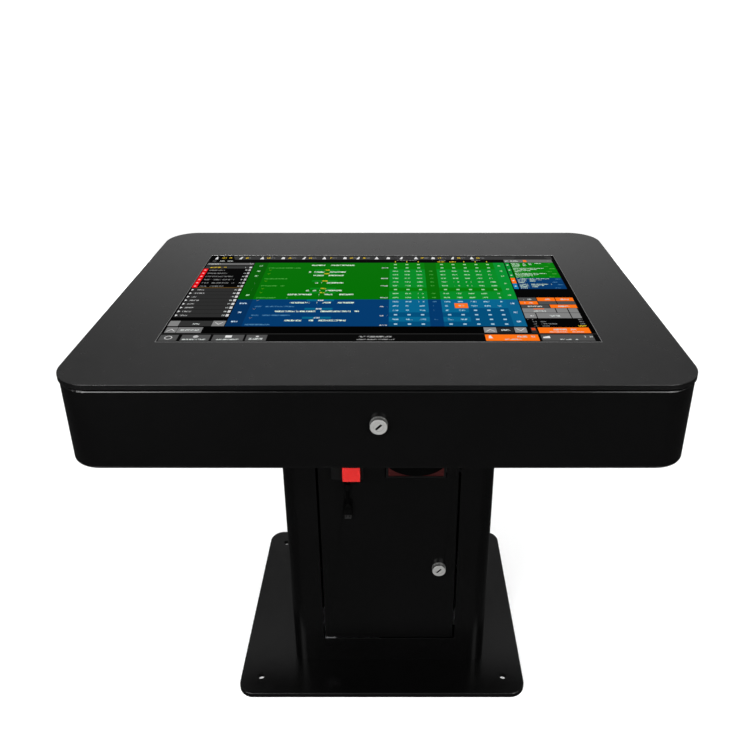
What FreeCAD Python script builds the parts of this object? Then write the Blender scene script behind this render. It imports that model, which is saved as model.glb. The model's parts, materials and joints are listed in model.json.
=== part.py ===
import FreeCAD, Part
import math
import os

import Sketcher

# A table-top gaming terminal: a deep tray on a steel column, closed by a hinged lid that carries a
# 32 inch touch display.  Millimetres, +Z up, +X to the player's right, +Y away from the player.
# The origin is on the floor, in the centre of the floor plate's bolt pattern.

Vector = FreeCAD.Vector

DIMENSIONS = [
    ("table_height", 760, "top of the lid above the floor"),
    ("plate_width", 935, "lid plate, left to right"),
    ("plate_depth", 675, "lid plate, front to back"),
    ("plate_thickness", 8, "lid plate"),
    ("plate_radius", 58, "lid plate corners in plan"),
    ("plate_edge", 0.4, "radius of the lid plate's top edge"),
    ("shadow_gap", 3, "between the lid plate and the tray"),
    ("tray_inset", 2, "tray wall behind the lid plate's edge"),
    ("tray_drop", 142, "lid top down to the tray's underside"),
    ("tray_lip", 8, "width of the tray's inward top lip"),
    ("tray_edge", 3, "bend radius of the tray's top edge"),
    ("sheet", 2, "steel sheet of the tray and the column"),
    ("screen_width", 698.4, "touch glass, a 32 inch 16:9 panel"),
    ("screen_depth", 392.9, "touch glass"),
    ("screen_margin", 135.2, "lid's front edge to the touch glass"),
    ("trim_width", 1.2, "metal trim round the touch glass"),
    ("glass_thickness", 4, "touch glass"),
    ("glass_recess", 0.3, "touch glass below the lid's top"),
    ("column_width", 385, "column, left to right"),
    ("column_depth", 300, "column, front to back"),
    ("column_radius", 28, "column corners in plan"),
    ("column_setback", 185, "lid's front edge to the column's face"),
    ("column_offset", 14, "column's centre to the right of the lid's"),
    ("floor_width", 560, "floor plate"),
    ("floor_depth", 460, "floor plate"),
    ("floor_thickness", 10, "floor plate"),
    ("floor_bolts_wide", 480, "floor bolt spacing along X"),
    ("floor_bolts_deep", 380, "floor bolt spacing along Y"),
    ("floor_bolt_radius", 6.5, "floor bolt holes, for M12"),
    ("door_width", 252, "column door"),
    ("door_bottom", 74, "door's lower edge above the floor"),
    ("door_top", 586, "door's upper edge above the floor"),
    ("door_sheet", 3, "door panel"),
    ("door_gap", 4, "groove round the door"),
    ("hinge_radius", 4.5, "lid hinge knuckles"),
    ("hinge_pin_radius", 2, "lid hinge pins"),
    ("stay_length", 180, "lid stay, pivot to sliding pin"),
    ("stay_slope", 18, "drop of the stay pivot below the lid hinge"),
    ("stay_pin_radius", 4, "stay pivot and sliding pin"),
    ("lock_height", 695.5, "lid lock above the floor"),
    ("lock_offset", 2.3, "lid lock to the right of the lid's centre"),
    ("lock_nose_radius", 12.5, "both cam locks, face"),
    ("lock_body_radius", 9.5, "both cam locks, threaded body"),
    ("lock_plug_radius", 7, "both cam locks, plug bore"),
    ("cam_length", 44, "both cam locks, cam arm"),
    ("fan_size", 80, "cooling fan frame"),
    ("cord_diameter", 5, "short lead under the coin entry"),
    ("running_clearance", 0.05, "radial, pin in a turning bore"),
]


class Size:
    """A length that carries its number and the sheet expression that drives it."""

    def __init__(self, number, text=None):
        self.number = float(number)
        self.text = text or str(round(float(number), 6))

    def joined(self, other, sign, number):
        return Size(number, f"({self.text} {sign} {size(other).text})")

    def __add__(self, other):
        return self.joined(other, "+", self.number + size(other).number)

    def __sub__(self, other):
        return self.joined(other, "-", self.number - size(other).number)

    def __mul__(self, other):
        return self.joined(other, "*", self.number * size(other).number)

    def __truediv__(self, other):
        return self.joined(other, "/", self.number / size(other).number)

    def __radd__(self, other):
        return size(other) + self

    def __rsub__(self, other):
        return size(other) - self

    def __rmul__(self, other):
        return size(other) * self

    def __neg__(self):
        return size(0) - self


def size(value):
    return value if isinstance(value, Size) else Size(value)


doc = FreeCAD.newDocument("TableTerminal")
sheet = doc.addObject("Spreadsheet::Sheet", "Sizes")
D = {}
for row, (alias, number, note) in enumerate(DIMENSIONS, start=1):
    sheet.set(f"A{row}", alias)
    sheet.set(f"B{row}", str(number))
    sheet.setAlias(f"B{row}", alias)
    sheet.set(f"C{row}", note)
    D[alias] = Size(number, f"Sizes.{alias}")
doc.recompute()

NODES = []


# ---------------------------------------------------------------- building with primitives

AXES = {"x": Vector(1, 0, 0), "y": Vector(0, 1, 0), "z": Vector(0, 0, 1)}


def node(item):
    """Mark an object as a finished sub-part: its label is the file and node name."""
    NODES.append(item)
    return item


def bind(item, **sizes):
    for name, value in sizes.items():
        item.setExpression(name, size(value).text)


def bind_base(item, x, y, z):
    for name, value in (("x", x), ("y", y), ("z", z)):
        item.setExpression(f"Placement.Base.{name}", size(value).text)


def block(label, x, y, z):
    """A box from its low and high bound along each axis."""
    item = doc.addObject("Part::Box", label)
    item.Label = label
    bind(item, Length=x[1] - size(x[0]), Width=y[1] - size(y[0]), Height=z[1] - size(z[0]))
    bind_base(item, x[0], y[0], z[0])
    return item


def rod(label, radius, start, length, along="z"):
    """A cylinder from the centre of its first end, along one axis."""
    item = doc.addObject("Part::Cylinder", label)
    item.Label = label
    turn = FreeCAD.Rotation(AXES["z"], AXES[along])
    item.Placement = FreeCAD.Placement(Vector(), turn)
    bind(item, Radius=radius, Height=length)
    bind_base(item, *start)
    return item


def join(label, *shapes):
    item = doc.addObject("Part::MultiFuse", label)
    item.Label = label
    item.Shapes = list(shapes)
    item.Refine = True
    return item


def group(label, *shapes):
    """Identical pieces that share a node, as separate solids."""
    item = doc.addObject("Part::Compound", label)
    item.Label = label
    item.Links = list(shapes)
    return item


def cut(label, base, *tools):
    item = doc.addObject("Part::Cut", label)
    item.Label = label
    item.Base = base
    item.Tool = tools[0] if len(tools) == 1 else join(label + "_holes", *tools)
    return item


def around(centre, width):
    """Low and high bound of a width laid about a centre."""
    return size(centre) - size(width) / 2, size(centre) + size(width) / 2


# ---------------------------------------------------------------- building with sketches

def body(label):
    item = doc.addObject("PartDesign::Body", label)
    item.Label = label
    return item


def sketch_on(owner, role, offset):
    """A sketch on one of the body's own origin planes, moved along that plane's normal."""
    sketch = owner.newObject("Sketcher::SketchObject", owner.Name + "_sketch")
    plane = next(item for item in owner.Origin.OriginFeatures if item.Role == role)
    sketch.AttachmentSupport = [(plane, "")]
    sketch.MapMode = "FlatFace"
    sketch.setExpression("AttachmentOffset.Base.z", size(offset).text)
    return sketch


def flat_sketch(owner, height):
    """A sketch in plan view at a height."""
    return sketch_on(owner, "XY_Plane", height)


def face_sketch(owner, y):
    """A sketch seen from the front, at a depth; its own axes are X and Z, its normal is -Y."""
    return sketch_on(owner, "XZ_Plane", -size(y))


def fix(sketch, kind, *where):
    """Add a constraint whose last item is a size from the sheet."""
    value = size(where[-1])
    index = sketch.addConstraint(Sketcher.Constraint(kind, *where[:-1], value.number))
    sketch.setExpression(f"Constraints[{index}]", value.text)


def pin_point(sketch, shape, vertex, x, y):
    fix(sketch, "DistanceX", -1, 1, shape, vertex, x)
    fix(sketch, "DistanceY", -1, 1, shape, vertex, y)


def circle(sketch, x, y, radius):
    centre = Vector(size(x).number, size(y).number, 0)
    shape = sketch.addGeometry(Part.Circle(centre, Vector(0, 0, 1), size(radius).number))
    fix(sketch, "Radius", shape, radius)
    pin_point(sketch, shape, 3, x, y)


def outline(sketch, points):
    """A closed outline of straight lines through points given as pairs of sizes."""
    corners = [Vector(size(x).number, size(y).number, 0) for x, y in points]
    lines = []
    for index, corner in enumerate(corners):
        far = corners[(index + 1) % len(corners)]
        lines.append(sketch.addGeometry(Part.LineSegment(corner, far)))
    for index, line in enumerate(lines):
        following = lines[(index + 1) % len(lines)]
        sketch.addConstraint(Sketcher.Constraint("Coincident", line, 2, following, 1))
        pin_point(sketch, line, 1, *points[index])


def rectangle(sketch, x, y):
    outline(sketch, [(x[0], y[0]), (x[1], y[0]), (x[1], y[1]), (x[0], y[1])])


def rounded_rectangle(sketch, x, y, radius):
    """A closed outline of four lines and four equal corner arcs."""
    left, right, low, high = (size(value) for value in (*x, *y))
    radius = size(radius)
    r = radius.number
    turns = [
        (right - radius, low + radius, -90),
        (right - radius, high - radius, 0),
        (left + radius, high - radius, 90),
        (left + radius, low + radius, 180),
    ]
    arcs = []
    for cx, cy, start in turns:
        whole = Part.Circle(Vector(cx.number, cy.number, 0), Vector(0, 0, 1), r)
        arc = Part.ArcOfCircle(whole, math.radians(start), math.radians(start + 90))
        arcs.append(sketch.addGeometry(arc))
    for index, arc in enumerate(arcs):
        following = arcs[(index + 1) % len(arcs)]
        start = sketch.getPoint(arc, 2)
        end = sketch.getPoint(following, 1)
        line = sketch.addGeometry(Part.LineSegment(start, end))
        sketch.addConstraint(Sketcher.Constraint("Tangent", arc, 2, line, 1))
        sketch.addConstraint(Sketcher.Constraint("Tangent", line, 2, following, 1))
    for arc, (cx, cy, _) in zip(arcs, turns):
        fix(sketch, "Radius", arc, radius)
        pin_point(sketch, arc, 3, cx, cy)


def pad(owner, sketch, length, reverse=False):
    item = owner.newObject("PartDesign::Pad", owner.Name + "_pad")
    item.Profile = sketch
    item.Reversed = reverse
    bind(item, Length=length)
    sketch.Visibility = False
    return item


def pocket(owner, sketch, length, reverse=False):
    """Cut against the sketch's normal: down from a plan sketch, backwards from a face sketch."""
    item = owner.newObject("PartDesign::Pocket", owner.Name + "_pocket")
    item.Profile = sketch
    item.Reversed = reverse
    bind(item, Length=length)
    sketch.Visibility = False
    return item


def repeat_x(owner, feature, length, count):
    """Repeat a pocket along +X."""
    item = owner.newObject("PartDesign::LinearPattern", owner.Name + "_row")
    item.Originals = [feature]
    axis = next(item for item in owner.Origin.OriginFeatures if item.Role == "X_Axis")
    item.Direction = (axis, [""])
    item.Occurrences = count
    bind(item, Length=length)
    owner.Tip = item
    return item


def edges_at_height(shape, height):
    """Names of the edges that lie wholly at one height."""
    names = []
    for index, edge in enumerate(shape.Edges, start=1):
        box = edge.BoundBox
        if abs(box.ZMin - height) < 1e-4 and abs(box.ZMax - height) < 1e-4:
            names.append(f"Edge{index}")
    return names


def round_edges(owner, feature, height, radius):
    """Fillet all the edges of a body's last feature that lie at one height."""
    doc.recompute()
    item = owner.newObject("PartDesign::Fillet", owner.Name + "_round")
    item.Base = (feature, edges_at_height(feature.Shape, size(height).number))
    bind(item, Radius=radius)
    return item


# ---------------------------------------------------------------- places worked out from the sizes

PLATE_TOP = D["table_height"]
PLATE_LOW = PLATE_TOP - D["plate_thickness"]
TRAY_TOP = PLATE_LOW - D["shadow_gap"]
TRAY_LOW = PLATE_TOP - D["tray_drop"]
TRAY_INSIDE = TRAY_LOW + D["sheet"]

PLATE_X = around(0, D["plate_width"])
PLATE_Y = around(0, D["plate_depth"])
TRAY_X = (PLATE_X[0] + D["tray_inset"], PLATE_X[1] - D["tray_inset"])
TRAY_Y = (PLATE_Y[0] + D["tray_inset"], PLATE_Y[1] - D["tray_inset"])
TRAY_RADIUS = D["plate_radius"] - D["tray_inset"]

SCREEN_X = around(0, D["screen_width"])
SCREEN_Y = (PLATE_Y[0] + D["screen_margin"], PLATE_Y[0] + D["screen_margin"] + D["screen_depth"])
GLASS_TOP = PLATE_TOP - D["glass_recess"]
GLASS_LOW = GLASS_TOP - D["glass_thickness"]

COLUMN = D["column_offset"]
COLUMN_X = around(COLUMN, D["column_width"])
FACE = PLATE_Y[0] + D["column_setback"]
BACK = FACE + D["column_depth"]
DOOR_X = around(COLUMN, D["door_width"])
DOOR_Z = (D["door_bottom"], D["door_top"])
BEHIND_DOOR = FACE + D["door_sheet"]


def inset(bounds, amount):
    return bounds[0] + amount, bounds[1] - amount


# ---------------------------------------------------------------- floor plate and column

def build_floor_plate():
    plate = body("floor_plate")
    plan = flat_sketch(plate, 0)
    rounded_rectangle(plan, around(0, D["floor_width"]), around(0, D["floor_depth"]), 30)
    slab = pad(plate, plan, D["floor_thickness"])
    round_edges(plate, slab, D["floor_thickness"], 2)
    holes = flat_sketch(plate, D["floor_thickness"])
    for x in around(0, D["floor_bolts_wide"]):
        for y in around(0, D["floor_bolts_deep"]):
            circle(holes, x, y, D["floor_bolt_radius"])
    pocket(plate, holes, D["floor_thickness"] + 1)
    node(plate)


def build_column_shell():
    shell = body("column_shell")
    low, high = D["floor_thickness"], TRAY_LOW
    y = (FACE, BACK)
    plan = flat_sketch(shell, low)
    rounded_rectangle(plan, COLUMN_X, y, D["column_radius"])
    pad(shell, plan, high - low)
    hollow = flat_sketch(shell, high)
    wall = D["sheet"]
    rounded_rectangle(hollow, inset(COLUMN_X, wall), inset(y, wall), D["column_radius"] - wall)
    pocket(shell, hollow, high - low)

    middle = (FACE + BACK) / 2
    opening = face_sketch(shell, middle)
    rectangle(opening, (DOOR_X[0] - D["door_gap"], DOOR_X[1] + D["door_gap"]),
              (DOOR_Z[0] - D["door_gap"], DOOR_Z[1] + D["door_gap"]))
    pocket(shell, opening, D["column_depth"], reverse=True)

    socket = face_sketch(shell, middle)
    rectangle(socket, around(INLET_X, 50), around(INLET_Z, 70))
    pocket(shell, socket, D["column_depth"])

    slot = face_sketch(shell, middle)
    slot_centre, slot_row = COLUMN - 70, 140
    rectangle(slot, around(slot_centre, 6), (430, 520))
    vent = pocket(shell, slot, D["column_depth"])
    repeat_x(shell, vent, slot_row, 8)
    node(shell)


CABLE_HOLE_Y = BACK - 70
BOLT_SPOTS = [(COLUMN + side * 160, y) for side in (-1, 1) for y in (FACE + 40, BACK - 40)]


def build_column_top():
    wall = D["sheet"]
    plate = body("column_top_plate")
    plan = flat_sketch(plate, TRAY_LOW - 6)
    y = (FACE + wall, BACK - wall)
    rounded_rectangle(plan, inset(COLUMN_X, wall), y, D["column_radius"] - wall)
    pad(plate, plan, 6)
    holes = flat_sketch(plate, TRAY_LOW)
    rounded_rectangle(holes, around(COLUMN, 120), around(CABLE_HOLE_Y, 60), 15)
    for spot in BOLT_SPOTS:
        circle(holes, *spot, 4.5)
    pocket(plate, holes, 7)
    node(plate)

    bolts = []
    for index, (x, y) in enumerate(BOLT_SPOTS):
        shank = rod(f"column_bolt_shank_{index}", 4, (x, y, TRAY_LOW - 7), 12)
        head = rod(f"column_bolt_head_{index}", 6.5, (x, y, TRAY_LOW - 11), 5)
        nut = rod(f"column_bolt_nut_{index}", 6.5, (x, y, TRAY_INSIDE), 6)
        bolts.append(join(f"column_bolt_{index}", shank, head, nut))
    node(group("column_bolts", *bolts))


# ---------------------------------------------------------------- tray

FAN_X = Size(250)
FAN_Z = (TRAY_INSIDE + TRAY_TOP - D["sheet"]) / 2


def build_tray():
    floor = body("tray_floor")
    plan = flat_sketch(floor, TRAY_LOW)
    rounded_rectangle(plan, TRAY_X, TRAY_Y, TRAY_RADIUS)
    pad(floor, plan, D["sheet"])
    holes = flat_sketch(floor, TRAY_INSIDE)
    rounded_rectangle(holes, around(COLUMN, 120), around(CABLE_HOLE_Y, 60), 15)
    for spot in BOLT_SPOTS:
        circle(holes, *spot, 4.5)
    pocket(floor, holes, D["sheet"] + 1)
    node(floor)

    wall = body("tray_wall")
    plan = flat_sketch(wall, TRAY_INSIDE)
    rounded_rectangle(plan, TRAY_X, TRAY_Y, TRAY_RADIUS)
    height = TRAY_TOP - TRAY_INSIDE
    solid = pad(wall, plan, height)
    round_edges(wall, solid, TRAY_TOP, D["tray_edge"])

    hollow = flat_sketch(wall, TRAY_INSIDE)
    sheet_thickness = D["sheet"]
    rounded_rectangle(hollow, inset(TRAY_X, sheet_thickness), inset(TRAY_Y, sheet_thickness),
                      TRAY_RADIUS - sheet_thickness)
    pocket(wall, hollow, height - sheet_thickness, reverse=True)
    mouth = flat_sketch(wall, TRAY_TOP)
    lip = D["tray_lip"]
    rounded_rectangle(mouth, inset(TRAY_X, lip), inset(TRAY_Y, lip), TRAY_RADIUS - lip)
    pocket(wall, mouth, height)

    keyhole = face_sketch(wall, 0)
    circle(keyhole, D["lock_offset"], D["lock_height"], D["lock_body_radius"])
    pocket(wall, keyhole, D["plate_depth"], reverse=True)
    fan_hole = face_sketch(wall, 0)
    circle(fan_hole, FAN_X, FAN_Z, D["fan_size"] / 2 - 3)
    pocket(wall, fan_hole, D["plate_depth"])
    slot = face_sketch(wall, 0)
    rectangle(slot, (-300, -295), around(FAN_Z, 60))
    vent = pocket(wall, slot, D["plate_depth"])
    repeat_x(wall, vent, 110, 12)
    node(wall)

    bumpers = []
    lip_middle = TRAY_X[1] - (D["tray_lip"] + D["tray_edge"]) / 2
    for side in (-1, 1):
        for y in (-200, 200):
            label = f"bumper_{len(bumpers)}"
            foot = (side * lip_middle, y, TRAY_TOP)
            bumpers.append(rod(label, 2.4, foot, D["shadow_gap"] - 0.1))
    node(group("lid_bumpers", *bumpers))


# ---------------------------------------------------------------- lid

def build_top_plate():
    plate = body("top_plate")
    plan = flat_sketch(plate, PLATE_LOW)
    rounded_rectangle(plan, PLATE_X, PLATE_Y, D["plate_radius"])
    slab = pad(plate, plan, D["plate_thickness"])
    round_edges(plate, slab, PLATE_TOP, D["plate_edge"])
    window = flat_sketch(plate, PLATE_TOP)
    trim = D["trim_width"]
    rectangle(window, inset(SCREEN_X, -trim), inset(SCREEN_Y, -trim))
    pocket(plate, window, D["plate_thickness"] + 1)
    node(plate)


def build_display():
    trim_z = (PLATE_TOP - 1.5, PLATE_TOP)
    width = D["trim_width"]
    outer = block("trim_outer", inset(SCREEN_X, -width), inset(SCREEN_Y, -width), trim_z)
    inner = block("trim_inner", SCREEN_X, SCREEN_Y, (trim_z[0] - 1, trim_z[1] + 1))
    node(cut("display_trim", outer, inner))
    node(block("touch_glass", SCREEN_X, SCREEN_Y, (GLASS_LOW, GLASS_TOP)))

    module_z = (PLATE_LOW - 14, PLATE_LOW)
    module = block("lcd_module", inset(SCREEN_X, -18), inset(SCREEN_Y, -18), module_z)
    raised = block("lcd_raised", SCREEN_X, SCREEN_Y, (PLATE_LOW - 1, GLASS_LOW))
    node(join("lcd_panel", module, raised))

    middle = (SCREEN_Y[0] + SCREEN_Y[1]) / 2
    node(block("display_driver_box", around(0, 220), around(middle, 130),
               (module_z[0] - 24, module_z[0])))


STIFFENER_X = (Size(-405), Size(405))
STIFFENER_Z = (PLATE_LOW - 4, PLATE_LOW)


def build_lid_frame():
    ring = body("lid_stiffener")
    plan = flat_sketch(ring, STIFFENER_Z[0])
    rounded_rectangle(plan, STIFFENER_X, (-285, 285), 20)
    pad(ring, plan, 4)
    window = flat_sketch(ring, STIFFENER_Z[1])
    rectangle(window, inset(SCREEN_X, -22), inset(SCREEN_Y, -22))
    pocket(ring, window, 5)
    node(ring)

    bars, screws = [], []
    module_low = PLATE_LOW - 14
    for index, y in enumerate((SCREEN_Y[0] + 90, SCREEN_Y[1] - 90)):
        pieces = [block(f"bar_{index}", (-398, 398), around(y, 30), (module_low - 3, module_low))]
        holes = []
        for side in (-1, 1):
            x = side * Size(386)
            name = f"{index}_{'left' if side < 0 else 'right'}"
            pieces.append(block(f"bar_foot_{name}", around(x, 20), around(y, 30),
                                (module_low - 3, STIFFENER_Z[0])))
            for offset in (-9, 9):
                spot = (x, y + offset, module_low - 3)
                mark = f"{name}_{'front' if offset < 0 else 'back'}"
                holes.append(rod(f"bar_hole_{mark}", 2, spot, 20))
                head_at = (x, y + offset, module_low - 5.5)
                head = rod(f"bar_screw_head_{mark}", 4, head_at, 2.5)
                shank = rod(f"bar_screw_shank_{mark}", 2, spot, 12)
                screws.append(join(f"bar_screw_{mark}", head, shank))
        bars.append(cut(f"clamp_bar_{index}", join(f"bar_whole_{index}", *pieces), *holes))
    node(group("lcd_clamp_bars", *bars))
    node(group("lcd_clamp_screws", *screws))


# ---------------------------------------------------------------- lid hinges

HINGE_Y = PLATE_Y[1] + 3
HINGE_Z = TRAY_TOP - 1
HINGE_SPOTS = (-330, 0, 330)
LEAF_HALF = 40
KNUCKLE_HALF = 16
KNUCKLE_PLAY = 0.3


def build_lid_hinges():
    """Three butt hinges: two knuckles on the tray's leaf, one between them on the lid's leaf."""
    fixed, moving, pins, screws = [], [], [], []
    radius, pin = D["hinge_radius"], D["hinge_pin_radius"]
    wall_back = TRAY_Y[1]
    inner = KNUCKLE_HALF - KNUCKLE_PLAY
    for index, x in enumerate(HINGE_SPOTS):
        pieces = [block(f"leaf_{index}", (x - LEAF_HALF, x + LEAF_HALF), (wall_back, wall_back + 2),
                        (HINGE_Z - 42, HINGE_Z - 5.2))]
        for low, high, mark in ((-LEAF_HALF, -KNUCKLE_HALF, "left"), (KNUCKLE_HALF, LEAF_HALF, "right")):
            start = (x + low, HINGE_Y, HINGE_Z)
            pieces.append(rod(f"knuckle_{index}_{mark}", radius, start, high - low, "x"))
            pieces.append(block(f"leaf_tab_{index}_{mark}", (x + low, x + high),
                                (wall_back, wall_back + 2), (HINGE_Z - 6, HINGE_Z)))
        whole = join(f"leaf_whole_{index}", *pieces)
        bore = rod(f"leaf_bore_{index}", pin, (x - LEAF_HALF - 1, HINGE_Y, HINGE_Z),
                   2 * LEAF_HALF + 2, "x")
        holes = [bore]
        for offset in (-26, 0, 26):
            spot = (x + offset, wall_back, HINGE_Z - 24)
            holes.append(rod(f"leaf_hole_{index}_{offset + 26}", 2, spot, 3, "y"))
            head_at = (x + offset, wall_back + 2, HINGE_Z - 24)
            head = rod(f"leaf_screw_head_{index}_{offset + 26}", 3.8, head_at, 1.8, "y")
            shank = rod(f"leaf_screw_shank_{index}_{offset + 26}", 2, spot, 3, "y")
            screws.append(join(f"leaf_screw_{index}_{offset + 26}", head, shank))
        fixed.append(cut(f"leaf_fixed_{index}", whole, *holes))

        knuckle = rod(f"knuckle_lid_{index}", radius, (x - inner, HINGE_Y, HINGE_Z), 2 * inner, "x")
        neck = block(f"leaf_neck_{index}", (x - inner, x + inner), (PLATE_Y[1] - 5, HINGE_Y - 2.5),
                     (PLATE_LOW - 2, PLATE_LOW))
        flap = block(f"leaf_flap_{index}", (x - 35, x + 35), (PLATE_Y[1] - 45, PLATE_Y[1] - 5),
                     (PLATE_LOW - 2, PLATE_LOW))
        free_bore = rod(f"leaf_free_bore_{index}", pin + D["running_clearance"],
                        (x - inner - 1, HINGE_Y, HINGE_Z), 2 * inner + 2, "x")
        moving.append(cut(f"leaf_moving_{index}",
                          join(f"leaf_moving_whole_{index}", knuckle, neck, flap), free_bore))
        pins.append(rod(f"hinge_pin_{index}", pin, (x - LEAF_HALF, HINGE_Y, HINGE_Z),
                        2 * LEAF_HALF, "x"))
    node(group("hinge_leaves_tray", *fixed))
    node(group("hinge_leaves_lid", *moving))
    node(group("hinge_pins", *pins))
    node(group("hinge_screws", *screws))


# ---------------------------------------------------------------- lid stays

# The stay's pivot and its sliding pin lie on one line through the lid hinge when the lid is shut.
# The pivot is one stay length from the hinge and the pin two, so by the inscribed angle the pin
# keeps to a straight slot in the lid while the stay turns exactly twice as far as the lid.
STAY_ANGLE = math.asin(D["stay_slope"].number / D["stay_length"].number)
STAY_X = Size(429)
STAY_PIVOT_Y = HINGE_Y - D["stay_length"] * math.cos(STAY_ANGLE)
STAY_PIVOT_Z = HINGE_Z - D["stay_slope"]


def tilted_bar(label, half_width, x, start, end):
    """A flat bar with round ends in a vertical plane, from the pivot's distance start to end.

    The distances run forward from the lid hinge, down the stay's closed line."""
    length = size(end) - size(start)
    turn = FreeCAD.Rotation(AXES["x"], 180 + math.degrees(STAY_ANGLE))
    pieces = []
    straight = doc.addObject("Part::Box", label + "_straight")
    bind(straight, Length=x[1] - size(x[0]), Width=length, Height=2 * size(half_width))
    bind_base(straight, x[0], 0, -size(half_width))
    pieces.append(straight)
    for mark, at in (("near", 0), ("far", length)):
        pieces.append(rod(f"{label}_{mark}", half_width, (x[0], at, 0), x[1] - size(x[0]), "x"))
    item = join(label, *pieces)
    item.Placement = FreeCAD.Placement(Vector(), turn)
    bind_base(item, 0, HINGE_Y - size(start) * math.cos(STAY_ANGLE),
              HINGE_Z - size(start) * math.sin(STAY_ANGLE))
    return item


def build_stay(side, mark):
    """One stay arm; returns its slotted rail under the lid and its bracket on the tray wall."""
    def bounds(near, far):
        low, high = side * size(near), side * size(far)
        return (low, high) if side > 0 else (high, low)

    reach = D["stay_length"]
    pin = D["stay_pin_radius"]
    play = D["running_clearance"]
    arm_x = bounds(STAY_X, STAY_X + 4)
    arm = tilted_bar(f"stay_arm_{mark}", 9, arm_x, reach, 2 * reach)
    tip = (HINGE_Y - 2 * reach * math.cos(STAY_ANGLE), HINGE_Z - 2 * D["stay_slope"])
    pin_x = bounds(STAY_X - 8, STAY_X + 1)
    sliding_pin = rod(f"stay_sliding_pin_{mark}", pin, (pin_x[0], *tip), 9, "x")
    bore = rod(f"stay_bore_{mark}", pin + play, (arm_x[0] - 1, STAY_PIVOT_Y, STAY_PIVOT_Z), 6, "x")
    node(cut(f"lid_stay_{mark}", join(f"stay_whole_{mark}", arm, sliding_pin), bore))

    rail_x = bounds(STAY_X - 4, STAY_X - 1)
    rail_y = (HINGE_Y - 2 * reach - 15, HINGE_Y - reach + 20)
    web = block(f"rail_web_{mark}", rail_x, rail_y, (PLATE_LOW - 52, PLATE_LOW))
    foot = block(f"rail_foot_{mark}", bounds(STAY_X - 22, STAY_X - 3), rail_y,
                 (PLATE_LOW - 3, PLATE_LOW))
    slot = tilted_bar(f"rail_slot_{mark}", pin + 0.2, (rail_x[0] - 1, rail_x[1] + 1),
                      reach - 6, 2 * reach + 1)
    rail = cut(f"stay_rail_{mark}", join(f"rail_whole_{mark}", web, foot), slot)

    post = block(f"stay_post_{mark}", bounds(STAY_X + 11, TRAY_X[1] - D["sheet"]),
                 around(STAY_PIVOT_Y, 24), (STAY_PIVOT_Z - 20, TRAY_TOP - D["sheet"]))
    pivot_x = bounds(STAY_X - 1, STAY_X + 12)
    pivot = rod(f"stay_pivot_{mark}", pin, (pivot_x[0], STAY_PIVOT_Y, STAY_PIVOT_Z), 13, "x")
    collar_x = bounds(STAY_X + 4.3, STAY_X + 12)
    collar = rod(f"stay_collar_{mark}", pin + 3, (collar_x[0], STAY_PIVOT_Y, STAY_PIVOT_Z), 7.7, "x")
    return rail, join(f"stay_bracket_{mark}", post, pivot, collar)


def build_stays():
    pairs = [build_stay(side, mark) for side, mark in ((-1, "left"), (1, "right"))]
    node(group("stay_rails", *[rail for rail, bracket in pairs]))
    node(group("stay_brackets", *[bracket for rail, bracket in pairs]))


# ---------------------------------------------------------------- cam locks

LOCK_NOSE = 10
LOCK_BODY = 22
CAM_HALF = 7


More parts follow.
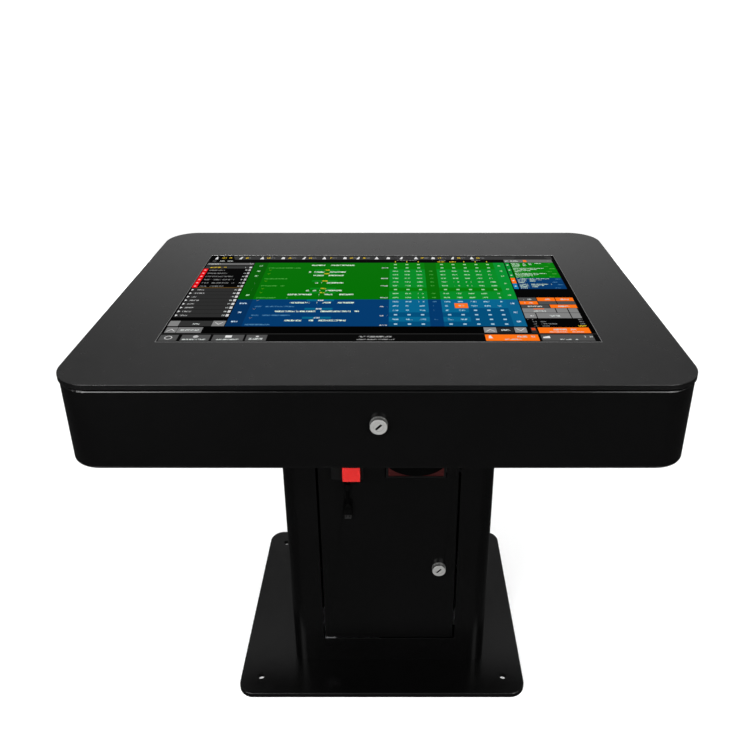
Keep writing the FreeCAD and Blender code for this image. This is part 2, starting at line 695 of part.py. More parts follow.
def build_cam_lock(prefix, x, z, face_y, wall):
    """A key lock through a sheet: barrel and nut stay, plug, cam and screw turn together.

    The key's end faces -Y.  The cam points up, which is unlocked, and turns to +X to lock."""
    nose, shank, bore = D["lock_nose_radius"], D["lock_body_radius"], D["lock_plug_radius"]
    barrel = join(
        f"{prefix}_barrel_whole",
        rod(f"{prefix}_collar", nose + 0.5, (x, face_y - 3, z), 3, "y"),
        rod(f"{prefix}_nose", nose, (x, face_y - LOCK_NOSE, z), LOCK_NOSE, "y"),
        rod(f"{prefix}_body", shank, (x, face_y - 1, z), LOCK_BODY + 1, "y"),
    )
    hole = rod(f"{prefix}_bore", bore, (x, face_y - LOCK_NOSE - 1, z), LOCK_NOSE + LOCK_BODY + 2, "y")
    sleeve = cut(f"{prefix}_sleeve", barrel, hole)
    hexagon = doc.addObject("Part::Prism", f"{prefix}_hexagon")
    hexagon.Polygon = 6
    hexagon.Placement = FreeCAD.Placement(Vector(), FreeCAD.Rotation(AXES["z"], AXES["y"]))
    bind(hexagon, Circumradius=13, Height=4)
    bind_base(hexagon, x, face_y + wall, z)
    nut_hole = rod(f"{prefix}_nut_hole", shank, (x, face_y + wall - 1, z), 6, "y")
    node(group(f"{prefix}_barrel", sleeve, cut(f"{prefix}_nut", hexagon, nut_hole)))

    cam_y = (face_y + LOCK_BODY + 2.5, face_y + LOCK_BODY + 5.5)
    plug = rod(f"{prefix}_plug_solid", bore - D["running_clearance"],
               (x, face_y - LOCK_NOSE + 0.3, z), cam_y[0] - face_y + LOCK_NOSE - 0.3, "y")
    slot = doc.addObject("Part::Box", f"{prefix}_key_slot")
    bind(slot, Length=2.6, Width=8, Height=9.6)
    turn = FreeCAD.Rotation(AXES["y"], 45)
    slot.Placement = FreeCAD.Placement(Vector(), turn)
    corner = turn.multVec(Vector(-1.3, 0, -4.8))
    bind_base(slot, x + corner.x, face_y - LOCK_NOSE - 1, z + corner.z)
    thread = rod(f"{prefix}_thread_hole", 2.5, (x, cam_y[0] - 10, z), 11, "y")
    node(cut(f"{prefix}_plug", plug, slot, thread))

    arm = join(f"{prefix}_arm",
               block(f"{prefix}_arm_bar", around(x, 2 * CAM_HALF), cam_y, (z, z + D["cam_length"])),
               rod(f"{prefix}_arm_eye", CAM_HALF + 2, (x, cam_y[0], z), 3, "y"))
    arm_hole = rod(f"{prefix}_arm_hole", 2.5, (x, cam_y[0] - 1, z), 5, "y")
    screw = join(f"{prefix}_screw",
                 rod(f"{prefix}_screw_shank", 2.5, (x, cam_y[0] - 8, z), 12, "y"),
                 rod(f"{prefix}_screw_head", 5, (x, cam_y[1], z), 3, "y"))
    node(group(f"{prefix}_cam", cut(f"{prefix}_cam_plate", arm, arm_hole), screw))


def build_lid_catch():
    """A hanging hook whose lip lies under the lid lock's cam when the cam is turned to +X."""
    cam_low = D["lock_height"] - CAM_HALF
    leg_y = TRAY_Y[0] + 35.5
    node(join("lid_catch",
              block("catch_leg", (18, 44), (leg_y, leg_y + 3), (cam_low - 4.3, PLATE_LOW)),
              block("catch_lip", (18, 44), (leg_y - 13, leg_y + 3), (cam_low - 4.3, cam_low - 1.3)),
              block("catch_foot", (18, 44), (leg_y, leg_y + 14), (PLATE_LOW - 3, PLATE_LOW))))


# ---------------------------------------------------------------- cooling fan and computer

BLADES = 7


def build_fan():
    """An axial fan behind the hole in the tray's rear wall, with a wire guard outside."""
    inner = TRAY_Y[1] - D["sheet"]
    y = (inner - 25, inner)
    frame = block("fan_block", around(FAN_X, D["fan_size"]), y, around(FAN_Z, D["fan_size"]))
    duct = rod("fan_duct", D["fan_size"] / 2 - 2, (FAN_X, y[0] - 1, FAN_Z), 27, "y")
    open_frame = cut("fan_open_frame", frame, duct)
    spider = [rod("fan_motor_seat", 15, (FAN_X, y[0], FAN_Z), 2.5, "y")]
    reach = D["fan_size"] - 2
    spider.append(block("fan_strut_wide", around(FAN_X, reach), (y[0], y[0] + 2.5), around(FAN_Z, 4)))
    spider.append(block("fan_strut_tall", around(FAN_X, 4), (y[0], y[0] + 2.5), around(FAN_Z, reach)))
    node(join("fan_frame", open_frame, *spider))

    blades = [rod("fan_hub", 15, (FAN_X, y[0] + 4, FAN_Z), 18, "y")]
    for index in range(BLADES):
        blade = doc.addObject("Part::Box", f"fan_blade_{index}")
        bind(blade, Length=D["fan_size"] / 2 - 6, Width=1.6, Height=15)
        pitch = FreeCAD.Rotation(AXES["x"], 50)
        swing = FreeCAD.Rotation(AXES["y"], 360 / BLADES * index)
        blade.Placement = FreeCAD.Placement(Vector(), swing.multiply(pitch))
        corner = swing.multiply(pitch).multVec(Vector(2, -0.8, -7.5))
        bind_base(blade, FAN_X + corner.x, y[0] + 13 + corner.y, FAN_Z + corner.z)
        blades.append(blade)
    node(join("fan_rotor", *blades))

    wires = []
    middle = TRAY_Y[1] + 1.5
    for ring in (12, 24, 36):
        wire = doc.addObject("Part::Torus", f"guard_ring_{ring}")
        wire.Placement = FreeCAD.Placement(Vector(), FreeCAD.Rotation(AXES["z"], AXES["y"]))
        bind(wire, Radius1=ring, Radius2=1.2)
        bind_base(wire, FAN_X, middle, FAN_Z)
        wires.append(wire)
    wires.append(block("guard_bar_wide", around(FAN_X, 78), around(middle, 1.6), around(FAN_Z, 2)))
    wires.append(block("guard_bar_tall", around(FAN_X, 2), around(middle, 1.6), around(FAN_Z, 78)))
    for index, (dx, dz) in enumerate(((-1, 0), (1, 0), (0, -1), (0, 1))):
        start = (FAN_X + 39 * dx, TRAY_Y[1], FAN_Z + 39 * dz)
        wires.append(rod(f"guard_foot_{index}", 2.4, start, 2.6, "y"))
    node(join("fan_guard", *wires))


PC_X = (Size(-190), Size(50))
PC_Y = (Size(-100), Size(20))


def build_computer():
    case = block("pc_case", PC_X, PC_Y, (TRAY_INSIDE + 4, TRAY_INSIDE + 46))
    feet = []
    for x in inset(PC_X, 15):
        for y in inset(PC_Y, 15):
            feet.append(rod(f"pc_foot_{len(feet)}", 7, (x, y, TRAY_INSIDE), 5))
    fins = []
    for index in range(9):
        x = PC_X[0] + 30 + 20 * index
        fins.append(block(f"pc_fin_{index}", around(x, 4), inset(PC_Y, 12),
                          (TRAY_INSIDE + 40, TRAY_INSIDE + 52)))
    node(join("mini_computer", case, *feet, *fins))


# ---------------------------------------------------------------- column door

DOOR_PIVOT_X = DOOR_X[0] + 5.5
DOOR_PIVOT_Y = FACE + 6.2
DOOR_PIN = 3
BEZEL_X = (COLUMN - 4, COLUMN + 103)
BEZEL_Z = (Size(465), Size(571))
COIN_X = (COLUMN - 102, COLUMN - 45)
COIN_Z = (Size(461), Size(563))
LEAD_X = COLUMN - 73.5
LEAD_Y = FACE - 8
GLAND_Z = Size(451)
DOOR_LOCK_X = COLUMN + 95
DOOR_LOCK_Z = Size(255)
INLET_X = COLUMN + 100
INLET_Z = Size(130)


def build_door():
    panel = body("door_panel")
    face = face_sketch(panel, FACE)
    rectangle(face, DOOR_X, DOOR_Z)
    pad(panel, face, D["door_sheet"], reverse=True)
    holes = face_sketch(panel, FACE - 1)
    rectangle(holes, inset(BEZEL_X, -1.5), inset(BEZEL_Z, -1.5))
    rectangle(holes, inset(COIN_X, 2), inset(COIN_Z, 2))
    circle(holes, LEAD_X, GLAND_Z, 4.5)
    circle(holes, DOOR_LOCK_X, DOOR_LOCK_Z, D["lock_body_radius"])
    pocket(panel, holes, D["door_sheet"] + 2)
    node(panel)

    outer_x, outer_z = (DOOR_X[0] + 12, DOOR_X[1] - 4), inset(DOOR_Z, 4)
    frame_y = (BEHIND_DOOR, BEHIND_DOOR + 12)
    ring = cut("door_ring",
               block("door_ring_outer", outer_x, frame_y, outer_z),
               block("door_ring_inner", (outer_x[0] + 8, outer_x[1] - 8),
                     (frame_y[0] - 1, frame_y[1] + 1), inset(outer_z, 10)))
    blocks, bores, pins = [], [], []
    for mark, low, high, start in (("low", DOOR_Z[0], DOOR_Z[0] + 20, DOOR_Z[0] - 5),
                                   ("high", DOOR_Z[1] - 20, DOOR_Z[1], DOOR_Z[1] - 20)):
        blocks.append(block(f"door_pivot_block_{mark}", (DOOR_X[0] + 1.5, DOOR_X[0] + 13),
                            (BEHIND_DOOR, BEHIND_DOOR + 8.2), (low, high)))
        spot = (DOOR_PIVOT_X, DOOR_PIVOT_Y, start)
        bores.append(rod(f"door_pivot_bore_{mark}", DOOR_PIN, spot, 25))
        pins.append(rod(f"door_pin_{mark}", DOOR_PIN, spot, 25))
    node(cut("door_stiffener", join("door_ring_whole", ring, *blocks), *bores))
    node(group("door_pivot_pins", *pins))

    brackets = []
    behind_wall = FACE + D["sheet"]
    tab_y = (FACE + 0.5, FACE + 14)
    for mark, tab_low, leg_low, leg_high in (
            ("low", DOOR_Z[0] - 3.8, DOOR_Z[0] - 26, DOOR_Z[0] - 0.8),
            ("high", DOOR_Z[1] + 0.8, DOOR_Z[1] + 0.8, DOOR_Z[1] + 22)):
        tab = block(f"pivot_tab_{mark}", (DOOR_PIVOT_X - 7, DOOR_PIVOT_X + 14), tab_y,
                    (tab_low, tab_low + 3))
        leg = block(f"pivot_leg_{mark}", (DOOR_PIVOT_X - 7, DOOR_PIVOT_X + 14),
                    (behind_wall + 9, behind_wall + 12), (leg_low, leg_high))
        stand = block(f"pivot_stand_{mark}", (DOOR_PIVOT_X + 8, DOOR_PIVOT_X + 14),
                      (behind_wall, behind_wall + 12), (leg_low, leg_low + 18)
                      if mark == "low" else (leg_high - 16, leg_high))
        bore = rod(f"pivot_bore_{mark}", DOOR_PIN + D["running_clearance"],
                   (DOOR_PIVOT_X, DOOR_PIVOT_Y, tab_low - 3), 9)
        brackets.append(cut(f"pivot_bracket_{mark}",
                            join(f"pivot_whole_{mark}", tab, leg, stand), bore))
    node(group("door_pivot_brackets", *brackets))

    edge = DOOR_X[1] + D["door_gap"]
    node(block("door_strike", (edge + 1, edge + 12), (behind_wall, FACE + LOCK_BODY + 1.5),
               around(DOOR_LOCK_Z, 40)))


# ---------------------------------------------------------------- coin entry, on the door

BUTTON_X = (COIN_X[0] + 21, COIN_X[1] - 5)
BUTTON_Z = (COIN_Z[0] + 3.5, COIN_Z[0] + 34)


def build_coin_entry():
    plate = body("coin_plate")
    back = face_sketch(plate, FACE)
    rounded_rectangle(back, COIN_X, COIN_Z, 2)
    pad(plate, back, 3)
    neck = face_sketch(plate, FACE)
    rectangle(neck, inset(COIN_X, 2), (BUTTON_Z[1] + 3, COIN_Z[1] - 2))
    pad(plate, neck, D["door_sheet"], reverse=True)
    holes = face_sketch(plate, FACE - 4)
    rectangle(holes, inset(BUTTON_X, -0.5), inset(BUTTON_Z, -0.5))
    rectangle(holes, around(COIN_X[0] + 16, 3.4), (COIN_Z[1] - 46, COIN_Z[1] - 16))
    pocket(plate, holes, 8)
    node(plate)

    button = body("coin_reject_button")
    face = face_sketch(button, FACE - 14)
    rounded_rectangle(face, BUTTON_X, BUTTON_Z, 1.5)
    pad(button, face, 18, reverse=True)
    flange = face_sketch(button, BEHIND_DOOR + 0.3)
    rectangle(flange, (BUTTON_X[0] - 2, BUTTON_X[1] + 2), (BUTTON_Z[0] - 2, BUTTON_Z[1] + 2))
    pad(button, flange, 1.5, reverse=True)
    node(button)

    inner_x = inset(COIN_X, 2)
    mech = join("coin_mech_whole",
                block("coin_mech_case", inner_x, (BEHIND_DOOR + 7, BEHIND_DOOR + 67),
                      (COIN_Z[0] - 20, COIN_Z[1])),
                block("coin_mech_throat", inset(COIN_X, 4), (BEHIND_DOOR, BEHIND_DOOR + 8),
                      (COIN_Z[0] + 45, COIN_Z[1] - 4)))
    slot = block("coin_mech_slot", around(COIN_X[0] + 16, 3.4), (BEHIND_DOOR - 1, BEHIND_DOOR + 30),
                 (COIN_Z[1] - 46, COIN_Z[1] - 16))
    node(cut("coin_acceptor", mech, slot))

    chute_x, chute_y = (COIN_X[0] + 9, COIN_X[0] + 49), (BEHIND_DOOR + 12, BEHIND_DOOR + 52)
    chute_z = (Size(140), COIN_Z[0] - 20)
    node(cut("coin_chute",
             block("chute_outer", chute_x, chute_y, chute_z),
             block("chute_inner", inset(chute_x, 2), inset(chute_y, 2),
                   (chute_z[0] - 1, chute_z[1] + 1))))

    box_x, box_y = (COLUMN - 150, COLUMN - 20), (FACE + 22, FACE + 170)
    box_z = (D["floor_thickness"], Size(130))
    node(cut("coin_box",
             block("coin_box_outer", box_x, box_y, box_z),
             block("coin_box_inner", inset(box_x, 2), inset(box_y, 2), (box_z[0] + 2, box_z[1] + 1))))


# ---------------------------------------------------------------- lead with a plug, on the door

PLUG_SHELL_Z = (Size(379), Size(390))
PLUG_GRIP_Z = (PLUG_SHELL_Z[1], PLUG_SHELL_Z[1] + 17.5)
PLUG_RELIEF = 6
CORD_Z = (PLUG_GRIP_Z[1] + PLUG_RELIEF - 0.5, GLAND_Z - 7)
CORD_ROUTE = [(LEAD_X, LEAD_Y, CORD_Z[1]),
              (LEAD_X + 0.5, LEAD_Y - 0.4, (CORD_Z[0] + CORD_Z[1]) / 2 + 0.5),
              (LEAD_X, LEAD_Y, CORD_Z[0])]


def rounded_path(points):
    """Straight runs joined by tangent arcs as large as the runs allow; also returns the radii."""
    edges, radii = [], []
    start = points[0]
    for before, corner, after in zip(points, points[1:], points[2:]):
        back, ahead = (before - corner), (after - corner)
        half_turn = (math.pi - back.getAngle(ahead)) / 2
        trim = 0.45 * min(back.Length, ahead.Length)
        radii.append(trim / math.tan(half_turn))
        back.normalize()
        ahead.normalize()
        enter, leave = corner + back * trim, corner + ahead * trim
        inward = (back + ahead).normalize()
        centre = corner + inward * (radii[-1] / math.cos(half_turn))
        crown = centre - inward * radii[-1]
        edges.append(Part.LineSegment(start, enter).toShape())
        edges.append(Part.Arc(enter, crown, leave).toShape())
        start = leave
    edges.append(Part.LineSegment(start, points[-1]).toShape())
    return Part.Wire(edges), radii


def tube(label, path, radius):
    """A round tube along a wire, with its volume compared with section times length."""
    first = path.Edges[0]
    start = first.valueAt(first.FirstParameter)
    heading = first.tangentAt(first.FirstParameter)
    ring = Part.Wire([Part.Circle(start, heading, radius).toShape()])
    shape = path.makePipeShell([ring], True, False)
    expected = math.pi * radius ** 2 * path.Length
    if abs(shape.Volume / expected - 1) > 0.02:
        raise RuntimeError(f"{label}: tube volume {shape.Volume:.1f}, expected {expected:.1f}")
    item = doc.addObject("Part::Feature", label)
    item.Label = label
    item.Shape = shape
    item.Placement = FreeCAD.Placement()
    return item


def build_lead():
    """A short lead that hangs from a hooded gland and ends in a flat metal connector."""
    node(join("lead_gland",
              rod("gland_hood", 5.5, (LEAD_X, LEAD_Y, CORD_Z[1]), 12.5),
              rod("gland_stub", 4.5, (LEAD_X, LEAD_Y, GLAND_Z), BEHIND_DOOR + 4 - LEAD_Y, "y"),
              rod("gland_flange", 6.4, (LEAD_X, FACE - 2, GLAND_Z), 2, "y")))

    points = [Vector(x.number, y.number, z.number) for x, y, z in CORD_ROUTE]
    path, radii = rounded_path(points)
    print("lead: length", round(path.Length, 1), "arc radii", [round(r, 1) for r in radii])
    node(tube("lead_cord", path, sheet.get("cord_diameter") / 2))

    relief = doc.addObject("Part::Cone", "plug_relief")
    bind(relief, Radius1=5, Radius2=2.8, Height=PLUG_RELIEF)
    bind_base(relief, LEAD_X, LEAD_Y, CORD_Z[0] - PLUG_RELIEF)
    grip = body("plug_grip")
    plan = flat_sketch(grip, PLUG_GRIP_Z[0])
    rounded_rectangle(plan, around(LEAD_X, 16), around(LEAD_Y, 8), 2)
    pad(grip, plan, PLUG_GRIP_Z[1] - PLUG_GRIP_Z[0])
    node(join("lead_plug_grip", relief, grip))

    shell_x, shell_y = around(LEAD_X, 12), around(LEAD_Y, 4.5)
    node(cut("lead_plug_shell",
             block("plug_shell_outer", shell_x, shell_y, PLUG_SHELL_Z),
             block("plug_shell_inner", inset(shell_x, 0.4), (shell_y[0] + 2, shell_y[1] - 0.4),
                   (PLUG_SHELL_Z[0] - 1, PLUG_SHELL_Z[1] - 2))))


# ---------------------------------------------------------------- banknote validator, in the column

SNOUT_X = (COLUMN + 3, COLUMN + 96)
SNOUT_Z = (Size(485), Size(548))
NOTE_SLOT_X = around(COLUMN + 50, 76)
NOTE_SLOT_Z = (Size(521), Size(528))


def build_note_validator():
    bezel_y = (FACE - 3, FACE + 8)
    window_x, window_z = inset(BEZEL_X, 4), inset(BEZEL_Z, 2.5)
    node(cut("note_bezel",
             block("bezel_outer", BEZEL_X, bezel_y, BEZEL_Z),
             block("bezel_inner", window_x, (bezel_y[0] - 1, bezel_y[1] + 1), window_z)))
    lens_inner_x, lens_inner_z = inset(window_x, 2.5), inset(window_z, 16.5)
    node(cut("note_lens",
             block("lens_outer", window_x, (FACE - 1.5, FACE + 8), window_z),
             block("lens_inner", lens_inner_x, (FACE - 3, FACE + 10), lens_inner_z)))

    snout = body("note_snout")
    plan = flat_sketch(snout, SNOUT_Z[0])
    left, right = SNOUT_X
    rear, shoulder, front = FACE + 8, FACE - 4, FACE - 25.6
    half, rise = (right - left).number / 2, (shoulder - front).number
    radius = Size((half ** 2 + rise ** 2) / (2 * rise))
    centre = Vector((left + right).number / 2, front.number + radius.number, 0)
    sweep = math.asin(half / radius.number)
    whole = Part.Circle(centre, Vector(0, 0, 1), radius.number)
    arc = plan.addGeometry(Part.ArcOfCircle(whole, -math.pi / 2 - sweep, -math.pi / 2 + sweep))
    corners = [(right, shoulder), (right, rear), (left, rear), (left, shoulder)]
    spots = [Vector(x.number, y.number, 0) for x, y in corners]
    lines = [plan.addGeometry(Part.LineSegment(a, b)) for a, b in zip(spots, spots[1:])]
    links = [(arc, 2, lines[0], 1), (lines[0], 2, lines[1], 1), (lines[1], 2, lines[2], 1),
             (lines[2], 2, arc, 1)]
    for link in links:
        plan.addConstraint(Sketcher.Constraint("Coincident", *link))
    for line, corner in zip(lines, corners):
        pin_point(plan, line, 1, *corner)
    pin_point(plan, lines[2], 2, *corners[3])
    fix(plan, "Radius", arc, radius)
    pad(snout, plan, SNOUT_Z[1] - SNOUT_Z[0])
    slot = face_sketch(snout, FACE - 30)
    rectangle(slot, NOTE_SLOT_X, NOTE_SLOT_Z)
    pocket(snout, slot, 50)
    node(snout)

    case_x, case_y = (COLUMN, COLUMN + 100), (FACE + 8, FACE + 200)
    node(cut("note_validator",
             block("validator_case", case_x, case_y, (BEZEL_Z[0] + 1, BEZEL_Z[1] - 1)),
             block("validator_path", NOTE_SLOT_X, (FACE + 7, FACE + 70), NOTE_SLOT_Z)))
    node(block("note_cash_box", inset(case_x, 3), (FACE + 70, FACE + 215), (Size(240), BEZEL_Z[0] + 1)))

    wall = COLUMN_X[1] - D["sheet"]
    post_x = (case_x[1], case_x[1] + 3)
    node(join("validator_bracket",
              block("bracket_web", post_x, (FACE + 30, FACE + 190), (400, 600)),
              block("bracket_shelf", (post_x[0], wall), (FACE + 30, FACE + 190), (597, 600)),
              block("bracket_brace", (post_x[0], wall), (FACE + 100, FACE + 103), (400, 600))))


# ---------------------------------------------------------------- mains inlet and power supply

def build_power():
    y = (BACK, BACK + 2)
    socket_x, socket_z = around(INLET_X, 27), around(INLET_Z + 14, 20)
    rocker_x, rocker_z = around(INLET_X, 22), around(INLET_Z - 18, 22)
    node(cut("inlet_plate",
             block("inlet_plate_solid", around(INLET_X, 64), y, around(INLET_Z, 84)),
             block("inlet_socket_hole", socket_x, (y[0] - 1, y[1] + 1), socket_z),
             block("inlet_rocker_hole", rocker_x, (y[0] - 1, y[1] + 1), rocker_z)))
    node(cut("inlet_socket",
             block("socket_body", socket_x, (BACK - 20, BACK + 3), socket_z),
             block("socket_well", inset(socket_x, 2.5), (BACK - 14, BACK + 4), inset(socket_z, 2.5))))

    rocker = doc.addObject("Part::Box", "power_rocker")
    bind(rocker, Length=20.5, Width=7, Height=19)
    turn = FreeCAD.Rotation(AXES["x"], -8)
    rocker.Placement = FreeCAD.Placement(Vector(), turn)
    corner = turn.multVec(Vector(-10.25, -3.5, -9.5))
    bind_base(rocker, INLET_X + corner.x, BACK + 1 + corner.y, INLET_Z - 18 + corner.z)
    node(rocker)

    case_x = (COLUMN - 10, COLUMN + 150)
    node(block("power_supply", case_x, (FACE + 90, FACE + 190), (D["floor_thickness"], Size(60))))


CONDUIT_RADIUS = 8


def build_conduit():
    """The wiring's tube, clipped up the column's rear wall and over to the computer."""
    x, y = COLUMN - 20, BACK - D["sheet"] - 14
    top = TRAY_INSIDE + 24
    near = CABLE_HOLE_Y
    points = [Vector(x.number, y.number, 62), Vector(x.number, y.number, 540),
              Vector(x.number, near.number, 590), Vector(x.number, near.number - 5, top.number),
              Vector(x.number, PC_Y[1].number, top.number)]
    path, radii = rounded_path(points)
    print("conduit: length", round(path.Length, 1), "arc radii", [round(r, 1) for r in radii])
    node(tube("wiring_conduit", path, CONDUIT_RADIUS))

    clips = []
    for index, height in enumerate((120, 260, 400)):
        clip_y = (y - CONDUIT_RADIUS - 3, BACK - D["sheet"])
        clip = block(f"clip_{index}_solid", around(x, 2 * CONDUIT_RADIUS + 6), clip_y,
                     around(height, 12))
        hole = rod(f"clip_{index}_hole", CONDUIT_RADIUS, (x, y, height - 7), 14)
        clips.append(cut(f"clip_{index}", clip, hole))
    node(group("conduit_clips", *clips))


# ---------------------------------------------------------------- make, check and write

def check_and_write():
    doc.recompute()
    for item in doc.Objects:
        if "Invalid" in item.State or "Error" in item.State:
            raise RuntimeError(f"{item.Name} failed: {item.State}")
        if item.TypeId == "PartDesign::Pocket":
            before = item.BaseFeature.Shape.Volume
            if item.Shape.Volume > before - 1:
                raise RuntimeError(f"{item.Name} cuts nothing")
    os.makedirs("parts", exist_ok=True)
    labels = [item.Label for item in NODES]
    if len(set(labels)) != len(labels):
        raise RuntimeError("two nodes share a name")
    for item in NODES:
        if item.Shape.isNull() or not item.Shape.isValid() or not item.Shape.Solids:
            raise RuntimeError(f"{item.Label} has no valid solid")
        item.Shape.exportStep(f"parts/{item.Label}.step")
    print(len(NODES), "nodes written")


build_floor_plate()
build_column_shell()
build_column_top()
build_tray()
build_top_plate()
build_display()
build_lid_frame()
build_lid_hinges()
build_stays()
build_cam_lock("lid_lock", D["lock_offset"], D["lock_height"], TRAY_Y[0], D["sheet"])
build_lid_catch()
build_fan()
build_computer()
build_door()
build_cam_lock("door_lock", DOOR_LOCK_X, DOOR_LOCK_Z, FACE, D["door_sheet"])
build_coin_entry()
build_lead()
build_note_validator()
build_power()
build_conduit()
check_and_write()
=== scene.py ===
import json
import math

import bmesh
import bpy
from mathutils import Matrix, Vector, geometry


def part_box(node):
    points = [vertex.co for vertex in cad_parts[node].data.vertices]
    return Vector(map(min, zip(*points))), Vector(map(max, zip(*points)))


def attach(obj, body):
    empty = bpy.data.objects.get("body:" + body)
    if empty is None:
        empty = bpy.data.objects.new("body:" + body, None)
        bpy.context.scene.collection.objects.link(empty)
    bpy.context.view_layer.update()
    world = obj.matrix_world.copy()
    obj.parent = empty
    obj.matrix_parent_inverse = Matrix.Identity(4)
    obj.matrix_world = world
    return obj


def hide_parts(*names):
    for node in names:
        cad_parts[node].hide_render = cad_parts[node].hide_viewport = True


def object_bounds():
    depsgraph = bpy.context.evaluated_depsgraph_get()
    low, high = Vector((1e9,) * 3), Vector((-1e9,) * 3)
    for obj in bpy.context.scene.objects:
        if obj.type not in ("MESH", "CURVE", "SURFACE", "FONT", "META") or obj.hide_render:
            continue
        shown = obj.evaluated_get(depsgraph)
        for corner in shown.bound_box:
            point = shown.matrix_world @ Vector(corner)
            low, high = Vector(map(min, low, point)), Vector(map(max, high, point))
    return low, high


# The looks of a table-top gaming terminal: a black tray on a column, under a touch-screen lid.
# Metres, +Z up, +Y away from the player.  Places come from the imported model's own boxes.

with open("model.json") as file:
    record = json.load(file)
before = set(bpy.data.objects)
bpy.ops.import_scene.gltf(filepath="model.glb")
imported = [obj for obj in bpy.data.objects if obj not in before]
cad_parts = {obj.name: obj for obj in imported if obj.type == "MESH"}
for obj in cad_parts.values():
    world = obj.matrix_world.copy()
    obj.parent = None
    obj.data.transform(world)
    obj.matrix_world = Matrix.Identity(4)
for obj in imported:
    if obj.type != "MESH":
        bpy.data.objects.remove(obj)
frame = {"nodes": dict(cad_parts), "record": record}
cad_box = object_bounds()

MM = 0.001
ROUND_STEPS = 48
lid_low, lid_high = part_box("top_plate")
glass_low, glass_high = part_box("touch_glass")


# ---------------------------------------------------------------- camera

CAMERA_LENS = 35.57
CAMERA_SHIFT = (-0.0261, -0.0924)
CAMERA_ASIDE, CAMERA_AWAY, CAMERA_ABOVE = 0.0251, 0.9015, 0.5218
CAMERA_TILT_DOWN = 23.94


def make_camera():
    """A player's eye, a step in front of the lid and half a metre above it."""
    data = bpy.data.cameras.new("camera")
    data.sensor_width = 36
    data.lens = CAMERA_LENS
    data.shift_x, data.shift_y = CAMERA_SHIFT
    camera = bpy.data.objects.new("camera", data)
    camera.location = (CAMERA_ASIDE, lid_low.y - CAMERA_AWAY, lid_high.z + CAMERA_ABOVE)
    camera.rotation_euler = (math.radians(90 - CAMERA_TILT_DOWN), 0, 0)
    bpy.context.scene.collection.objects.link(camera)
    bpy.context.scene.camera = camera


make_camera()


# ---------------------------------------------------------------- meshes

def piece_from(build, name, material):
    """A mesh object from a bmesh, with one material."""
    mesh = bpy.data.meshes.new(name)
    build.normal_update()
    build.to_mesh(mesh)
    build.free()
    piece = bpy.data.objects.new(name, mesh)
    bpy.context.scene.collection.objects.link(piece)
    mesh.materials.append(material)
    return piece


def crisp(piece, width, segments=2, angle=30):
    """Rounds a piece's sharp edges, so that they catch the light as real edges do."""
    piece.data.shade_smooth()
    bevel = piece.modifiers.new("edges", "BEVEL")
    bevel.width = width
    bevel.segments = segments
    bevel.limit_method = "ANGLE"
    bevel.angle_limit = math.radians(angle)
    bevel.miter_outer = "MITER_ARC"
    normals = piece.modifiers.new("normals", "WEIGHTED_NORMAL")
    normals.weight = 80
    return piece


# ---------------------------------------------------------------- materials

def linear(red, green, blue):
    """A colour given as 0 to 255 on a screen, in the renderer's linear light."""
    def one(value):
        share = value / 255
        return share / 12.92 if share <= 0.04045 else ((share + 0.055) / 1.055) ** 2.4
    return (one(red), one(green), one(blue), 1)


class Nodes:
    """A short way to lay out a material's node tree."""

    def __init__(self, name):
        self.material = bpy.data.materials.new(name)
        self.material.use_nodes = True
        self.tree = self.material.node_tree
        self.shader = self.tree.nodes["Principled BSDF"]
        self.place = self.tree.nodes.new("ShaderNodeTexCoord").outputs["Object"]

    def node(self, kind, inputs, **settings):
        made = self.tree.nodes.new("ShaderNode" + kind)
        for key, value in settings.items():
            setattr(made, key, value)
        for key, value in inputs.items():
            self.put(made.inputs[key], value)
        return made

    def put(self, socket, value):
        if isinstance(value, bpy.types.NodeSocket):
            self.tree.links.new(value, socket)
        else:
            socket.default_value = value

    def noise(self, scale, detail=3, roughness=0.5, vector=None):
        made = self.node("TexNoise", {"Vector": vector or self.place, "Scale": scale,
                                      "Detail": detail, "Roughness": roughness})
        return made.outputs["Fac"]

    def ranged(self, value, low, high, start=0.3, stop=0.7):
        """The value, from start to stop, spread over low to high."""
        made = self.node("MapRange", {"Value": value, "From Min": start, "From Max": stop,
                                      "To Min": low, "To Max": high})
        return made.outputs["Result"]

    def mix(self, share, first, second):
        made = self.node("Mix", {}, data_type="RGBA")
        self.put(made.inputs["Factor"], share)
        self.put(made.inputs["A"], first)
        self.put(made.inputs["B"], second)
        return made.outputs["Result"]

    def bump(self, height, distance, strength):
        """Raises the surface by the height, distance being the greatest rise in metres."""
        made = self.node("Bump", {"Height": height, "Distance": distance, "Strength": strength})
        self.put(self.shader.inputs["Normal"], made.outputs["Normal"])

    def surface(self, **values):
        """Sets the shader's sockets, and gives the finished material."""
        names = {"colour": "Base Color", "rough": "Roughness", "metal": "Metallic",
                 "specular": "Specular IOR Level", "glow": "Emission Color",
                 "glow_strength": "Emission Strength"}
        for key, value in values.items():
            self.put(self.shader.inputs[names[key]], value)
        return self.material


def grey(value, tint=0.0):
    return (value, value, value * (1 + tint), 1)


def powder_coat(name, shade, rough, specular, peel, uneven=0.02):
    """Black powder coat: a fine orange peel, and slow changes of shade and gloss."""
    nodes = Nodes(name)
    slow = nodes.noise(5, 4)
    fine = nodes.noise(900, 2)
    nodes.bump(fine, peel, 0.5)
    colour = nodes.mix(nodes.ranged(slow, 0, 1), grey(shade * 0.8), grey(shade * 1.25, 0.03))
    rough_map = nodes.ranged(nodes.noise(60, 4), rough - uneven, rough + uneven)
    return nodes.surface(colour=colour, rough=rough_map, specular=specular)


